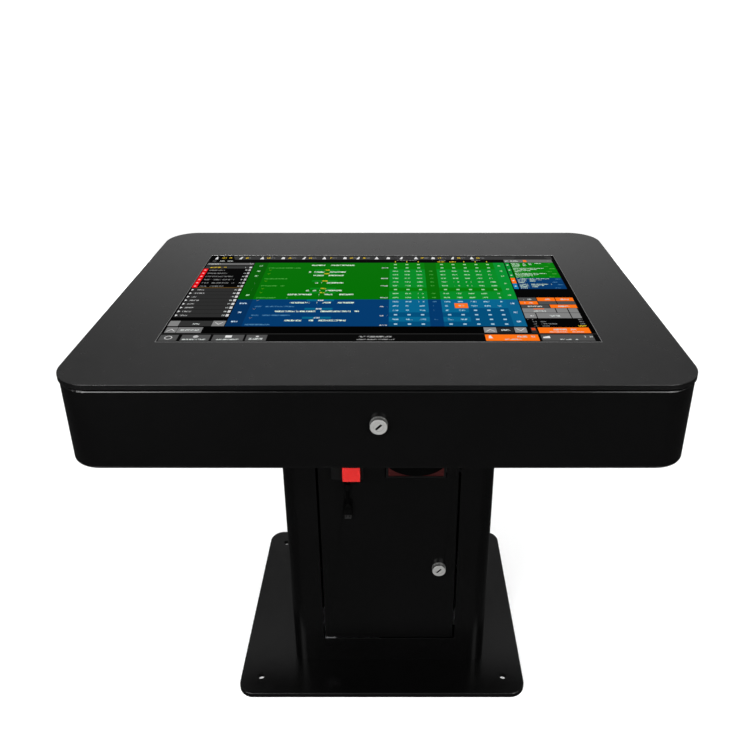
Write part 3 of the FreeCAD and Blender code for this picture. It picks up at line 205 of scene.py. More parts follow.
def moulded(name, colour, rough, specular=0.4, grain=0.00006):
    """Moulded plastic with a fine spark-eroded grain."""
    nodes = Nodes(name)
    nodes.bump(nodes.noise(2200, 2), grain, 0.6)
    dark = tuple(value * 0.82 for value in colour[:3]) + (1,)
    mixed = nodes.mix(nodes.ranged(nodes.noise(40, 4), 0, 1), dark, colour)
    rough_map = nodes.ranged(nodes.noise(90, 3), rough - 0.05, rough + 0.06)
    return nodes.surface(colour=mixed, rough=rough_map, specular=specular)


def brushed(name, shade, rough, stretch, tint=0.0, metal=1.0):
    """Metal with fine marks along one direction."""
    nodes = Nodes(name)
    lined = nodes.node("Mapping", {"Vector": nodes.place, "Scale": stretch}).outputs["Vector"]
    marks = nodes.noise(1, 4, 0.6, lined)
    nodes.bump(marks, 0.00002, 0.4)
    colour = nodes.mix(nodes.ranged(marks, 0, 1), grey(shade * 0.82, tint), grey(shade, tint))
    return nodes.surface(colour=colour, rough=nodes.ranged(marks, rough - 0.05, rough + 0.08),
                         metal=metal)


def zinc(name):
    """Zinc plated sheet: small crystals that differ a little in shade."""
    nodes = Nodes(name)
    cells = nodes.node("TexVoronoi", {"Vector": nodes.place, "Scale": 260}).outputs["Color"]
    shade = nodes.node("SeparateColor", {"Color": cells}).outputs["Red"]
    colour = nodes.mix(shade, grey(0.42, 0.04), grey(0.58, 0.05))
    nodes.bump(nodes.noise(700, 2), 0.00003, 0.4)
    return nodes.surface(colour=colour, rough=nodes.ranged(shade, 0.34, 0.46, 0, 1), metal=1.0)


def glossy_red(name):
    """Polished red plastic with faint clouds."""
    nodes = Nodes(name)
    clouds = nodes.ranged(nodes.noise(120, 3), 0, 1)
    colour = nodes.mix(clouds, (0.31, 0.0070, 0.0062, 1), (0.37, 0.0090, 0.0080, 1))
    nodes.bump(nodes.noise(300, 2), 0.00002, 0.3)
    return nodes.surface(colour=colour, rough=nodes.ranged(nodes.noise(200, 2), 0.16, 0.26),
                         specular=0.5)


def lit_lens(name):
    """Red translucent moulding with lamps behind its lower corners."""
    nodes = Nodes(name)
    low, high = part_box("note_lens")
    place = nodes.node("SeparateXYZ", {"Vector": nodes.place}).outputs
    middle = (low.x + high.x) / 2
    offset = nodes.node("Math", {0: place["X"], 1: middle}, operation="SUBTRACT").outputs[0]
    aside = nodes.node("Math", {0: offset}, operation="ABSOLUTE").outputs[0]
    corner = nodes.ranged(aside, 0.25, 1, 0.02, (high.x - low.x) / 2)
    colour = nodes.mix(nodes.ranged(nodes.noise(400, 2), 0, 1), (0.008, 0.0005, 0.0005, 1),
                       (0.013, 0.0008, 0.0007, 1))
    glow = nodes.mix(corner, (0.003, 0.0003, 0.0003, 1), (0.018, 0.0026, 0.0026, 1))
    return nodes.surface(colour=colour, rough=nodes.ranged(nodes.noise(90, 2), 0.18, 0.28),
                         glow=glow, glow_strength=1.0)


def lcd_picture(name):
    """The lit display under its glass: paper and ink colours lie on the mesh."""
    nodes = Nodes(name)
    paper = nodes.node("Attribute", {}, attribute_name="paper").outputs["Color"]
    ink = nodes.node("Attribute", {}, attribute_name="ink").outputs["Color"]

    def speckle(cell, share):
        """One in this share of the cells, at random."""
        parts = nodes.node("VectorMath", {0: nodes.place, 1: cell}, operation="DIVIDE").outputs[0]
        whole = nodes.node("VectorMath", {0: parts}, operation="FLOOR").outputs[0]
        chance = nodes.node("TexWhiteNoise", {"Vector": whole}).outputs["Value"]
        return nodes.node("Math", {0: chance, 1: share}, operation="LESS_THAN").outputs[0]

    strokes = speckle((1.25 * MM, 1.9 * MM, 1), 0.62)
    spaces = speckle((6.2 * MM, 60 * MM, 1), 0.84)
    shown = nodes.node("Math", {0: strokes, 1: spaces}, operation="MULTIPLY").outputs[0]
    picture = nodes.mix(shown, paper, ink)
    nodes.bump(nodes.noise(30, 2), 0.00001, 0.2)
    return nodes.surface(colour=grey(0.0002), rough=nodes.ranged(nodes.noise(12, 3), 0.06, 0.10),
                         specular=0.0015, glow=picture, glow_strength=1.0)


FINISHES = {
    "black_paint": powder_coat("powder_coat", 0.0007, 0.23, 0.28, 0.00004),
    "lid_black": powder_coat("lid_coat", 0.0012, 0.26, 0.45, 0.00001, 0.015),
    "trim": brushed("trim_metal", 0.36, 0.34, (40, 2400, 2400)),
    "inner_steel": zinc("zinc_plate"),
    "panel_back": brushed("panel_back", 0.30, 0.42, (900, 60, 900), 0.02),
    "nickel": brushed("satin_nickel", 0.24, 0.34, (1500, 300, 1500), -0.03, 0.4),
    # A darker copy of the satin nickel: painted shade for the sides of the lock barrels.
    "nickel_painted_shade": brushed("nickel_painted_shade", 0.09, 0.30, (1500, 300, 1500), -0.03, 0.6),
    "bright_steel": brushed("bright_steel", 0.58, 0.30, (1200, 1200, 120)),
    "black_plastic": moulded("black_plastic", grey(0.0012), 0.38, 0.30),
    "grey_plastic": moulded("grey_plastic", grey(0.035, 0.05), 0.45),
    "red_button": glossy_red("red_plastic"),
    "red_lens": lit_lens("red_lens"),
    "computer_case": brushed("computer_case", 0.10, 0.40, (60, 900, 900), 0.04),
    "electronics_case": moulded("electronics_case", grey(0.22, 0.04), 0.5),
    "rubber": moulded("rubber", grey(0.0004), 0.60, 0.02),
    "screen": lcd_picture("lcd_picture"),
    # A near-black copy of the bright steel: painted shade for the plug shell, which hangs in
    # shadow.
    "plug_steel_painted_shade": brushed("plug_steel_painted_shade", 0.022, 0.34, (1200, 1200, 120), 0.0, 0.7),
}


# Edge widths in millimetres, where a node's own differs from the usual one.
EDGE_WIDTH = 0.4
OWN_EDGES = {"floor_plate": 1.0, "note_snout": 1.2, "coin_reject_button": 0.8, "top_plate": 0.08,
             "lid_lock_barrel": 1.1, "door_lock_barrel": 1.1}
OWN_FINISHES = {"lead_gland": "black_paint", "note_snout": "rubber"}


def dress_cad_nodes():
    """Every carried-over node gets its slot's finish and softly rounded edges."""
    for row in frame["record"]["subparts"]:
        node = frame["nodes"][row["node"]]
        node.data.materials.clear()
        finish = OWN_FINISHES.get(row["node"], row["material_slot"])
        node.data.materials.append(FINISHES[finish])
        weld = node.modifiers.new("weld", "WELD")
        weld.merge_threshold = 0.01 * MM
        crisp(node, OWN_EDGES.get(row["node"], EDGE_WIDTH) * MM)


def paint_barrel_side_shade(node):
    """The lock barrel's face keeps the nickel finish; its sides get a darker copy of it, painted
    shade.
    """
    node.data.materials.append(FINISHES["nickel_painted_shade"])
    for face in node.data.polygons:
        face.material_index = 0 if face.normal.y < -0.9 else 1


dress_cad_nodes()
# Painted shade on the sides of both lock barrels.
paint_barrel_side_shade(frame["nodes"]["lid_lock_barrel"])
paint_barrel_side_shade(frame["nodes"]["door_lock_barrel"])


# ---------------------------------------------------------------- lock plugs

def extend_rim(build, rim, reach, finish=0):
    """Walls from an open rim along a vector, closed at their far end."""
    walls = bmesh.ops.extrude_edge_only(build, edges=rim)["geom"]
    moved = [item for item in walls if isinstance(item, bmesh.types.BMVert)]
    bmesh.ops.translate(build, verts=moved, vec=reach)
    far = [item for item in walls if isinstance(item, bmesh.types.BMEdge) and item.is_boundary]
    cap = bmesh.ops.contextual_create(build, geom=far)["faces"]
    for face in [item for item in walls if isinstance(item, bmesh.types.BMFace)] + cap:
        face.material_index = finish


KEY_SLOT_HALF_WIDE, KEY_SLOT_HALF_LONG, KEY_SLOT_DEEP = 1.5 * MM, 5.6 * MM, 7 * MM
KEY_SLOT_LEAN = math.radians(-45)


def make_plug(name, node, ridden):
    """A lock's plug, with a key slot sunk into its face, its walls and floor painted near black as
    shade.
    """
    low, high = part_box(node)
    centre = (low + high) / 2
    radius = (high.x - low.x) / 2
    turns = [2 * math.pi * step / ROUND_STEPS for step in range(ROUND_STEPS)]
    spots = [Vector((radius * math.cos(turn), radius * math.sin(turn))) for turn in turns]
    lean = Matrix.Rotation(KEY_SLOT_LEAN, 2)
    corners = ((-1, -1), (1, -1), (1, 1), (-1, 1))
    spots += [lean @ Vector((x * KEY_SLOT_HALF_WIDE, z * KEY_SLOT_HALF_LONG)) for x, z in corners]
    outlines = [list(range(ROUND_STEPS)), list(range(ROUND_STEPS, ROUND_STEPS + len(corners)))]
    points, _, faces, _, _, covers = geometry.delaunay_2d_cdt(
        spots, [], outlines, 1, 0.001 * MM)

    build = bmesh.new()
    front = [build.verts.new((centre.x + x, low.y, centre.z + z)) for x, z in points]
    for face, cover in zip(faces, covers):
        if 1 not in cover:
            build.faces.new([front[index] for index in face])
    rims = [edge for edge in build.edges if edge.is_boundary]
    middle = Vector((centre.x, low.y, centre.z))
    outer, slot = [], []
    for edge in rims:
        near = (edge.verts[0].co - middle).length < 0.9 * radius
        (slot if near else outer).append(edge)
    extend_rim(build, outer, (0, high.y - low.y, 0))
    # The key slot's walls and floor take the near-black rubber finish: painted shade.
    extend_rim(build, slot, (0, KEY_SLOT_DEEP, 0), 1)
    bmesh.ops.recalc_face_normals(build, faces=build.faces)
    plug = piece_from(build, name, FINISHES["nickel"])
    plug.data.materials.append(FINISHES["rubber"])
    crisp(plug, 0.15 * MM, 1, 60)
    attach(plug, ridden)
    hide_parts(node)


make_plug("lid_lock_keyway", "lid_lock_plug", "lid_lock")
make_plug("door_lock_keyway", "door_lock_plug", "door_lock")


# ---------------------------------------------------------------- cases with panelled faces

def panelled(name, node, body, finish, side, columns, rows, sunk, edge=0.6):
    """A case whose front, top or bottom has cells sunk into it, their floors painted near black as
    shade.

    Columns and rows are the face's dividing lines, in millimetres from its low corner.
    Sunk gives the depth, in millimetres, of each (column, row) cell that is let in."""
    low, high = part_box(node)
    size = high - low
    corner = Vector((low.x, low.y, high.z if side == "top" else low.z))
    upright = side == "front"
    inward = Vector((0, 1, 0)) if upright else Vector((0, 0, -1 if side == "top" else 1))
    depth = size.y if upright else size.z
    across = [0] + [value * MM for value in columns] + [size.x]
    upward = [0] + [value * MM for value in rows] + [size.z if upright else size.y]
    build = bmesh.new()
    spots = [[build.verts.new(corner + Vector((u, 0, v) if upright else (u, v, 0)))
              for v in upward] for u in across]
    cells = {}
    for column in range(len(across) - 1):
        for row in range(len(upward) - 1):
            cells[column, row] = build.faces.new((
                spots[column][row], spots[column + 1][row],
                spots[column + 1][row + 1], spots[column][row + 1]))
    extend_rim(build, [item for item in build.edges if item.is_boundary], inward * depth)
    for cell, deep in sunk.items():
        floor = bmesh.ops.extrude_discrete_faces(build, faces=[cells[cell]])["faces"][0]
        bmesh.ops.translate(build, verts=floor.verts, vec=inward * deep * MM)
        # The near-black rubber finish on each sunk floor is painted shade.
        floor.material_index = 1
    bmesh.ops.recalc_face_normals(build, faces=build.faces)
    case = piece_from(build, name, FINISHES[finish])
    case.data.materials.append(FINISHES["rubber"])
    crisp(case, edge * MM, 2, 60)
    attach(case, body)
    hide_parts(node)
    return case


def slots(first, wide, gap, count):
    """Dividing lines of a row of equal slots."""
    return [first + (wide + gap) * index + side for index in range(count) for side in (0, wide)]


panelled("cash_box_case", "note_cash_box", "housing", "grey_plastic", "front",
         [12, 17, 24, 70, 77, 82], [14, 17, 28, 120, 146, 176, 204, 207],
         {(3, 1): 1.5, (3, 7): 1.5, (1, 3): 1.5, (5, 3): 1.5, (3, 5): 9})
panelled("supply_case", "power_supply", "housing", "electronics_case", "top",
         slots(18, 5, 5, 13), [16, 46, 54, 84],
         {(1 + 2 * index, row): 3 for index in range(13) for row in (1, 3)})
panelled("driver_case", "display_driver_box", "lid", "electronics_case",
         "bottom", slots(46, 4, 7, 12), [22, 60, 70, 108],
         {(1 + 2 * index, row): 2.5 for index in range(12) for row in (1, 3)})


# ---------------------------------------------------------------- short lead

LEAD_ROUTE = [(-0.0595, -0.1605, 0.444), (-0.0590, -0.1609, 0.429), (-0.0595, -0.1605, 0.413)]
CORD_RADIUS = 2.5 * MM


def loft(name, sections, centre, material):
    """A closed moulding from (height, half width, half depth, squareness) sections."""
    steps = 40
    build = bmesh.new()
    rings = []
    for height, wide, deep, square in sections:
        ring = []
        for step in range(steps):
            turn = 2 * math.pi * step / steps
            across, along = math.cos(turn), math.sin(turn)
            x = math.copysign(abs(across) ** (2 / square), across) * wide
            y = math.copysign(abs(along) ** (2 / square), along) * deep
            ring.append(build.verts.new((centre[0] + x, centre[1] + y, height)))
        rings.append(ring)
    for low, high in zip(rings, rings[1:]):
        for step in range(steps):
            after = (step + 1) % steps
            build.faces.new((low[step], low[after], high[after], high[step]))
    build.faces.new(rings[0])
    build.faces.new(rings[-1])
    bmesh.ops.recalc_face_normals(build, faces=build.faces)
    return piece_from(build, name, material)


def make_grip():
    """The plug's moulded grip: flat below, ribbed at its waist, drawn in to the cord."""
    low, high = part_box("lead_plug_grip")
    wide, deep = (high.x - low.x) / 2, (high.y - low.y) / 2
    groove_count, groove_pitch, first_groove = 5, 1.8 * MM, 4 * MM
    groove_wide, groove_deep = wide - 0.5 * MM, deep - 0.5 * MM
    sections = [(low.z, groove_wide, groove_deep, 5), (low.z + 0.5 * MM, wide, deep, 5)]
    for groove in range(groove_count):
        base = low.z + first_groove + groove_pitch * groove
        sections += [(base, wide, deep, 5), (base + 0.3 * MM, groove_wide, groove_deep, 5),
                     (base + 0.9 * MM, groove_wide, groove_deep, 5),
                     (base + 1.2 * MM, wide, deep, 5)]
    sections += [(high.z - 9 * MM, wide, deep, 4), (high.z - 6 * MM, 0.78 * wide, 0.92 * deep, 3.2),
                 (high.z - 3 * MM, 0.52 * wide, 0.84 * deep, 2.4),
                 (high.z, CORD_RADIUS + 0.4 * MM, CORD_RADIUS + 0.4 * MM, 2)]
    grip = loft("plug_grip", sections, ((low.x + high.x) / 2, (low.y + high.y) / 2),
                FINISHES["rubber"])
    grip.data.shade_smooth()
    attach(grip, "door")
    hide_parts("lead_plug_grip")
    return grip


def make_shell():
    """The plug's flat metal shell in near-black steel, painted shade, with two spring windows in
    its front whose floors are painted shade too.
    """
    return panelled("plug_shell", "lead_plug_shell", "door", "plug_steel_painted_shade", "front",
                    [1.8, 4.4, 7.6, 10.2], [4.5, 7.5], {(1, 1): 0.5, (3, 1): 0.5}, 0.25)


def make_lead(grip, shell):
    """The cord itself, hanging from its gland with the plug on its end."""
    curve = bpy.data.curves.new("short_lead", "CURVE")
    curve.dimensions = "3D"
    curve.bevel_depth = CORD_RADIUS
    curve.bevel_resolution = 8
    curve.use_fill_caps = True
    line = curve.splines.new("NURBS")
    line.points.add(len(LEAD_ROUTE) - 1)
    for point, spot in zip(line.points, LEAD_ROUTE):
        point.co = (*spot, 1)
    line.order_u = 3
    line.use_endpoint_u = True
    line.resolution_u = 16
    curve.materials.append(FINISHES["rubber"])
    cord = bpy.data.objects.new("short_lead", curve)
    bpy.context.scene.collection.objects.link(cord)
    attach(cord, "door")
    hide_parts("lead_cord")


make_lead(make_grip(), make_shell())


# ---------------------------------------------------------------- the lit display

BLACK = linear(1, 1, 1)
NIGHT = linear(7, 7, 7)
COAL = linear(44, 44, 44)
SLATE = linear(56, 56, 56)
ASH = linear(80, 80, 80)
STONE = linear(108, 108, 108)
PEARL = linear(130, 130, 130)
WHITE = linear(225, 225, 225)
PRINT = linear(195, 200, 198)
DIM = linear(120, 120, 120)
YELLOW = linear(225, 190, 40)
ORANGE = linear(255, 116, 22)
RED = linear(235, 12, 22)
GREENS = {"time": linear(2, 92, 2), "main": linear(1, 111, 1), "score": linear(5, 130, 24),
          "open": linear(3, 139, 38), "shut": linear(1, 125, 7), "middle": linear(3, 108, 2),
          "arrows": linear(2, 142, 46), "dim": linear(70, 160, 60),
          "cell": linear(165, 215, 170)}
BLUES = {"time": linear(2, 48, 93), "main": linear(1, 58, 110), "score": linear(6, 98, 134),
         "open": linear(5, 100, 142), "shut": linear(0, 78, 122), "middle": linear(0, 56, 108),
         "arrows": linear(8, 95, 138), "dim": linear(70, 125, 165),
         "cell": linear(165, 205, 225)}
ROW = 4.68
FIRST_ROW = 10.8
CELL = 3.27
CELL_MIDDLE = 1.63
GLASS_SHAPE = 1.78


class Display:
    """Plain blocks of colour, in percent of the glass from its far left corner."""

    def __init__(self):
        self.panels = []

    def shape(self, corners, paper, ink=None):
        """Corners run anticlockwise as the player sees them.  No paper keeps what lies below."""
        self.panels.append((corners, paper, ink or paper))

    def block(self, left, right, top, bottom, paper, ink=None):
        self.shape([(left, bottom), (right, bottom), (right, top), (left, top)], paper, ink)

    def words(self, left, right, top, bottom, ink=PRINT):
        """A line of unreadable marks, a little lower than the room it is given."""
        trim = 0.15 * (bottom - top)
        self.block(left, right, top + trim, bottom - trim, None, ink)

    def chevron(self, x, y, wide, high, ink, up=True):
        """An arrow head, pointing up or down the screen."""
        turn = -1 if up else 1
        thick = high * 0.45
        points = [(x - wide, y - turn * high), (x, y + turn * high), (x + wide, y - turn * high),
                  (x + wide, y - turn * (high + thick)), (x, y + turn * (high - thick)),
                  (x - wide, y - turn * (high + thick))]
        self.shape(points if turn > 0 else points[::-1], ink)

    def dot(self, x, y, radius, ink, sides=8):
        """A round mark: the glass is wider than it is deep, so its height is scaled."""
        angles = [2 * math.pi * side / sides for side in range(sides)]
        tall = radius * GLASS_SHAPE
        self.shape([(x + radius * math.cos(a), y - tall * math.sin(a)) for a in angles], ink)


def draw_tabs(screen):
    """The row of slanted tabs along the far edge, the first one chosen."""
    screen.block(6.5, 99.2, 1.2, 6.3, SLATE)
    screen.shape([(0.5, 9.9), (8.2, 9.9), (6.6, 1.4), (1.2, 1.4)], BLACK)
    screen.shape([(1.6, 5.8), (2.5, 5.8), (2.2, 2.2), (1.9, 2.2)], WHITE)
    screen.words(3.6, 6.3, 2.6, 4.8, YELLOW)
    screen.words(3.4, 7.2, 7.4, 9.2)
    screen.block(1.3, 2.3, 7.6, 9.0, ASH)
    marks = (9, 15.2, 21.3, 27.3, 33.2, 39.2, 43.0, 48.4, 51.8, 55.5, 59.8, 64.8, 70.4, 76)
    for index, x in enumerate(marks):
        screen.shape([(x + 1.9, 6.3), (x + 2.1, 6.3), (x + 1.3, 1.2), (x + 1.1, 1.2)], COAL)
        if index % 3 == 0:
            screen.shape([(x - 0.5, 5.6), (x + 0.3, 5.6), (x + 0.5, 2.3), (x + 0.1, 2.3)], WHITE)
        elif index % 3 == 1:
            screen.shape([(x - 0.6, 5.6), (x + 0.6, 5.6), (x + 0.1, 2.2), (x - 0.1, 2.2)], WHITE)
        else:
            screen.shape([(x - 0.6, 5.4), (x + 0.5, 5.4), (x + 0.4, 3.0), (x - 0.3, 2.4)], WHITE)
        if x < 46 or x > 59:
            screen.words(x + 1.4, x + 2.3, 2.7, 5.0, YELLOW)
            screen.words(x + 2.4, x + 3.7, 2.9, 4.8, DIM)
    screen.shape([(88, 5.6), (98, 5.6), (97, 2.0), (89, 2.0)], COAL)


def draw_menu(screen):
    """The list down the left side, with a block of live rows marked in red."""
    left, right = 0.4, 13.6
    screen.block(left, right, 11.2, 13.9, STONE)
    screen.words(0.8, 4.0, 11.7, 13.4)
    screen.chevron(12.8, 12.4, 0.5, 0.7, WHITE, up=False)
    screen.block(left, right, 14.3, 16.0, linear(36, 36, 36))
    screen.block(left, right, 16.0, 18.8, SLATE)
    screen.words(1.7, 6.3, 16.4, 18.3, YELLOW)
    screen.words(11.6, 12.4, 16.6, 18.2)
    screen.block(12.8, 13.5, 16.5, 18.4, WHITE)
    for index, wide in enumerate((4.3, 5.6, 7.5, 8.2, 8.7, 6.3)):
        top = 19.1 + 4.15 * index
        screen.block(0.2, 1.5, top, top + 3.9, RED)
        screen.dot(0.85, top + 2.0, 0.32, linear(255, 190, 195))
        screen.words(2.0, 2.0 + wide, top + 1.2, top + 3.1, DIM)
        screen.words(12.0, 12.6, top + 1.1, top + 3.0)
        screen.block(12.9, 13.5, top + 0.9, top + 3.2, linear(190, 190, 190))
    screen.block(1.5, right, 43.3, 44.2, linear(92, 68, 30))
    for index, wide in enumerate((2.4, 2.8, 1.2, 2.4, 1.9, 2.2, 2.3, 1.8)):
        top = 44.4 + 4.05 * index
        screen.block(left, right, top, top + 3.85, COAL)
        screen.shape([(0.6, top + 3.0), (1.2, top + 1.9), (0.6, top + 0.9)], WHITE)
        screen.words(1.7, 1.7 + wide, top + 1.1, top + 2.9, linear(170, 170, 170))
        screen.words(11.8, 12.5, top + 1.0, top + 2.9)
        screen.block(12.8, 13.5, top + 0.8, top + 3.1, linear(215, 215, 215))
    screen.block(left, 2.8, 80.3, 85.5, PEARL)
    screen.block(2.8, 10.5, 80.3, 85.5, linear(50, 50, 50))
    screen.words(6.0, 7.6, 82.4, 84.4)
    screen.block(10.6, right, 80.3, 85.5, PEARL)
    screen.chevron(12.1, 83.0, 0.9, 1.0, WHITE, up=False)
    screen.block(0.6, 3.2, 86.6, 91.8, linear(122, 122, 122))
    screen.chevron(1.9, 89.2, 0.9, 1.0, WHITE)
    screen.block(3.3, 9.0, 86.6, 91.8, linear(122, 122, 122))
    screen.words(4.0, 8.3, 88.2, 90.3)


def draw_board(screen):
    """The board in the middle: ten green rows over six blue ones, with cells on the right."""
    start, stop = 13.8, 84.7
    cells = [52.2 + CELL * index for index in range(10)]
    shut = {0, 1, 7, 13, 15}
    short = {12, 14}
    for index in range(16):
        hues = GREENS if index < 10 else BLUES
        top = FIRST_ROW + ROW * index
        low = top + ROW
        screen.block(start, 17.7, top, low, hues["time"])
        screen.block(17.7, cells[0], top, low, hues["main"])
        for column, left in enumerate(cells[:-1]):
            plain = index in shut or (index in short and column > 5)
            paper = hues["middle"] if column == 3 else hues["shut"] if plain else hues["open"]
            screen.block(left, left + CELL, top, low, paper)
            middle = left + CELL_MIDDLE
            if plain and column != 3:
                screen.block(middle - 0.4, middle + 0.4, top + 1.9, top + 3.1, hues["cell"])
            elif column != 3:
                screen.words(middle - 0.75, middle + 0.75, top + 1.6, top + 3.4, hues["cell"])
            elif not plain:
                screen.words(middle - 0.5, middle + 0.5, top + 1.6, top + 3.3, hues["dim"])
        screen.block(cells[-1], stop, top, low, hues["arrows"])
    screen.block(cells[5], cells[6], 61.9, 67.0, ORANGE)
    screen.words(cells[5] + 0.9, cells[5] + 2.4, 63.5, 65.4)

    for y in (15.2, 22.5, 29.0, 38.5, 45.6, 52.6):
        screen.words(15.4, 16.3, y - 1.2, y + 1.2, linear(170, 215, 170))
        screen.words(82.7, 83.5, y - 1.0, y + 1.0, linear(170, 215, 170))
    for y in (62.0, 71.6, 81.0):
        screen.words(14.8, 16.6, y - 1.0, y + 1.0, linear(190, 215, 235))
        screen.words(82.6, 83.6, y - 1.1, y + 1.1, linear(190, 215, 235))
        screen.words(49.9, 51.8, y + 2.8, y + 4.2)
    for y in (18.0, 32.2, 41.6, 55.6):
        screen.words(49.9, 51.8, y - 0.8, y + 0.8)

    scores = ((21.1, GREENS), (26.0, GREENS), (35.4, GREENS), (44.8, GREENS), (49.6, GREENS),
              (58.6, BLUES), (67.9, BLUES), (77.2, BLUES))
    for y, hues in scores:
        screen.block(31.4, 38.3, y - 1.0, y + 1.0, hues["score"])
        screen.words(34.2, 35.6, y - 0.9, y + 0.9, YELLOW if hues is GREENS else WHITE)
        screen.chevron(19.0, y + 0.2, 0.35, 0.6,
                       linear(120, 190, 30) if hues is GREENS else linear(150, 150, 130), up=False)
    screen.block(31.4, 38.3, 10.8, 12.8, GREENS["time"])
    titles = ((30.2, 42.3, 14.4), (29.9, 40.1, 23.7), (30.6, 39.7, 28.3), (32.1, 39.9, 37.8),
              (30.4, 39.8, 47.2), (25.7, 43.0, 51.9), (27.3, 43.4, 61.2), (24.3, 44.9, 70.6),
              (27.3, 42.0, 79.9))
    for left, right, y in titles:
        screen.words(left, 34.2, y - 1.1, y + 1.1, linear(215, 235, 215))
        screen.words(35.5, right, y - 1.1, y + 1.1, linear(215, 235, 215))
    faint = ((27.3, 18.2, GREENS), (24.5, 32.6, GREENS), (24.5, 41.6, GREENS),
             (26.3, 55.7, GREENS), (28.7, 65.4, BLUES), (28.3, 74.7, BLUES), (24.2, 84.0, BLUES))
    for right, y, hues in faint:
        screen.words(18.3, right, y - 0.9, y + 0.9, hues["dim"])

    for column in (0, 1, 2, 6, 7, 8):
        middle = cells[column] + CELL_MIDDLE
        screen.block(middle - 0.12, middle + 0.12, 8.5, 10.3, YELLOW)
    screen.words(65.9, 68.0, 8.6, 10.3, YELLOW)
    screen.words(69.3, 71.1, 8.6, 10.3, YELLOW)
    for left, right in ((54.2, 60.0), (66.4, 68.2), (75.4, 78.2)):
        screen.words(left, right, 6.6, 8.0, DIM)


def draw_slip(screen):
    """The slip down the right side: a list, keys, a stepper and the big confirming key."""
    left, right = 85.0, 98.8
    screen.block(left, right, 6.3, 10.4, linear(106, 108, 106))
    screen.words(left + 0.3, left + 1.3, 7.2, 9.4)
    screen.words(86.8, 90.0, 7.2, 9.4)
    screen.block(90.5, 91.5, 7.0, 9.6, ORANGE)
    screen.words(97.4, 98.5, 7.2, 9.4, DIM)
    for index in range(5):
        hues = GREENS if index < 3 else BLUES
        top = 10.7 + 6.95 * index
        strip = (GREENS["arrows"], GREENS["arrows"], GREENS["arrows"], ORANGE,
                 linear(20, 125, 175))[index]
        screen.block(left, 86.2, top, top + 6.8, strip)
        screen.dot(85.6, top + 3.4, 0.3, WHITE)
        screen.block(86.5, right, top, top + 6.8, hues["shut"] if hues is GREENS else hues["main"])
        for line, wide in enumerate((8.6, 6.4, 4.6, 1.8)):
            y = top + 0.5 + 1.55 * line
            screen.words(86.8, 86.8 + wide, y, y + 1.1, linear(200, 225, 205))
        screen.words(97.0, 98.4, top + 0.6, top + 2.2, hues["dim"])
        screen.words(95.8, 97.2, top + 4.8, top + 6.2, hues["dim"])
    keys = ((55.5, 59.4, (ASH, ORANGE, ORANGE)), (59.6, 63.1, (ORANGE, ASH, ASH)))
    for top, low, papers in keys:
        for index, paper in enumerate(papers):
            key = left + 4.7 * index
            screen.block(key, key + 4.5, top, low, paper)
            if paper is ORANGE or index == 0:
                screen.words(key + 1.2, key + 3.3, top + 1.0, low - 1.0)
    screen.block(left, 92.0, 63.4, 67.0, linear(72, 72, 72))
    screen.words(86.6, 90.2, 64.3, 66.2)
    screen.block(92.2, right, 63.4, 67.0, ORANGE)
    screen.words(94.2, 97.0, 64.3, 66.2)
    steppers = ((67.3, 71.9, (left, 93.3, 96.3, right)), (72.2, 77.6, (left, 88.0, 96.3, right)))
    for top, low, edges in steppers:
        for start, stop in zip(edges, edges[1:]):
            screen.block(start, stop - 0.25, top, low, PEARL)
    screen.words(87.6, 90.6, 69.3, 71.3)
    screen.block(87.8, 90.4, 67.6, 68.3, ORANGE)
    screen.words(91.0, 93.6, 74.0, 76.6)
    screen.words(85.6, 87.2, 74.6, 75.8, WHITE)
    for index, wide in enumerate((1.3, 4.2, 6.6, 4.6)):
        y = 78.4 + 2.1 * index
        screen.words(85.3, 85.3 + wide, y, y + 1.3, DIM)
        screen.words(97.4, 98.5, y, y + 1.3, DIM if index < 3 else YELLOW)
    screen.words(96.7, 98.6, 84.5, 86.2, YELLOW)
    screen.block(left + 0.2, 86.5, 86.7, 92.0, COAL)
    screen.block(85.4, 86.3, 87.2, 89.4, linear(200, 70, 30))
    screen.block(86.9, right, 86.8, 92.1, ORANGE)
    screen.words(90.4, 95.8, 87.7, 89.8)
    screen.words(89.3, 97.2, 90.5, 91.4)


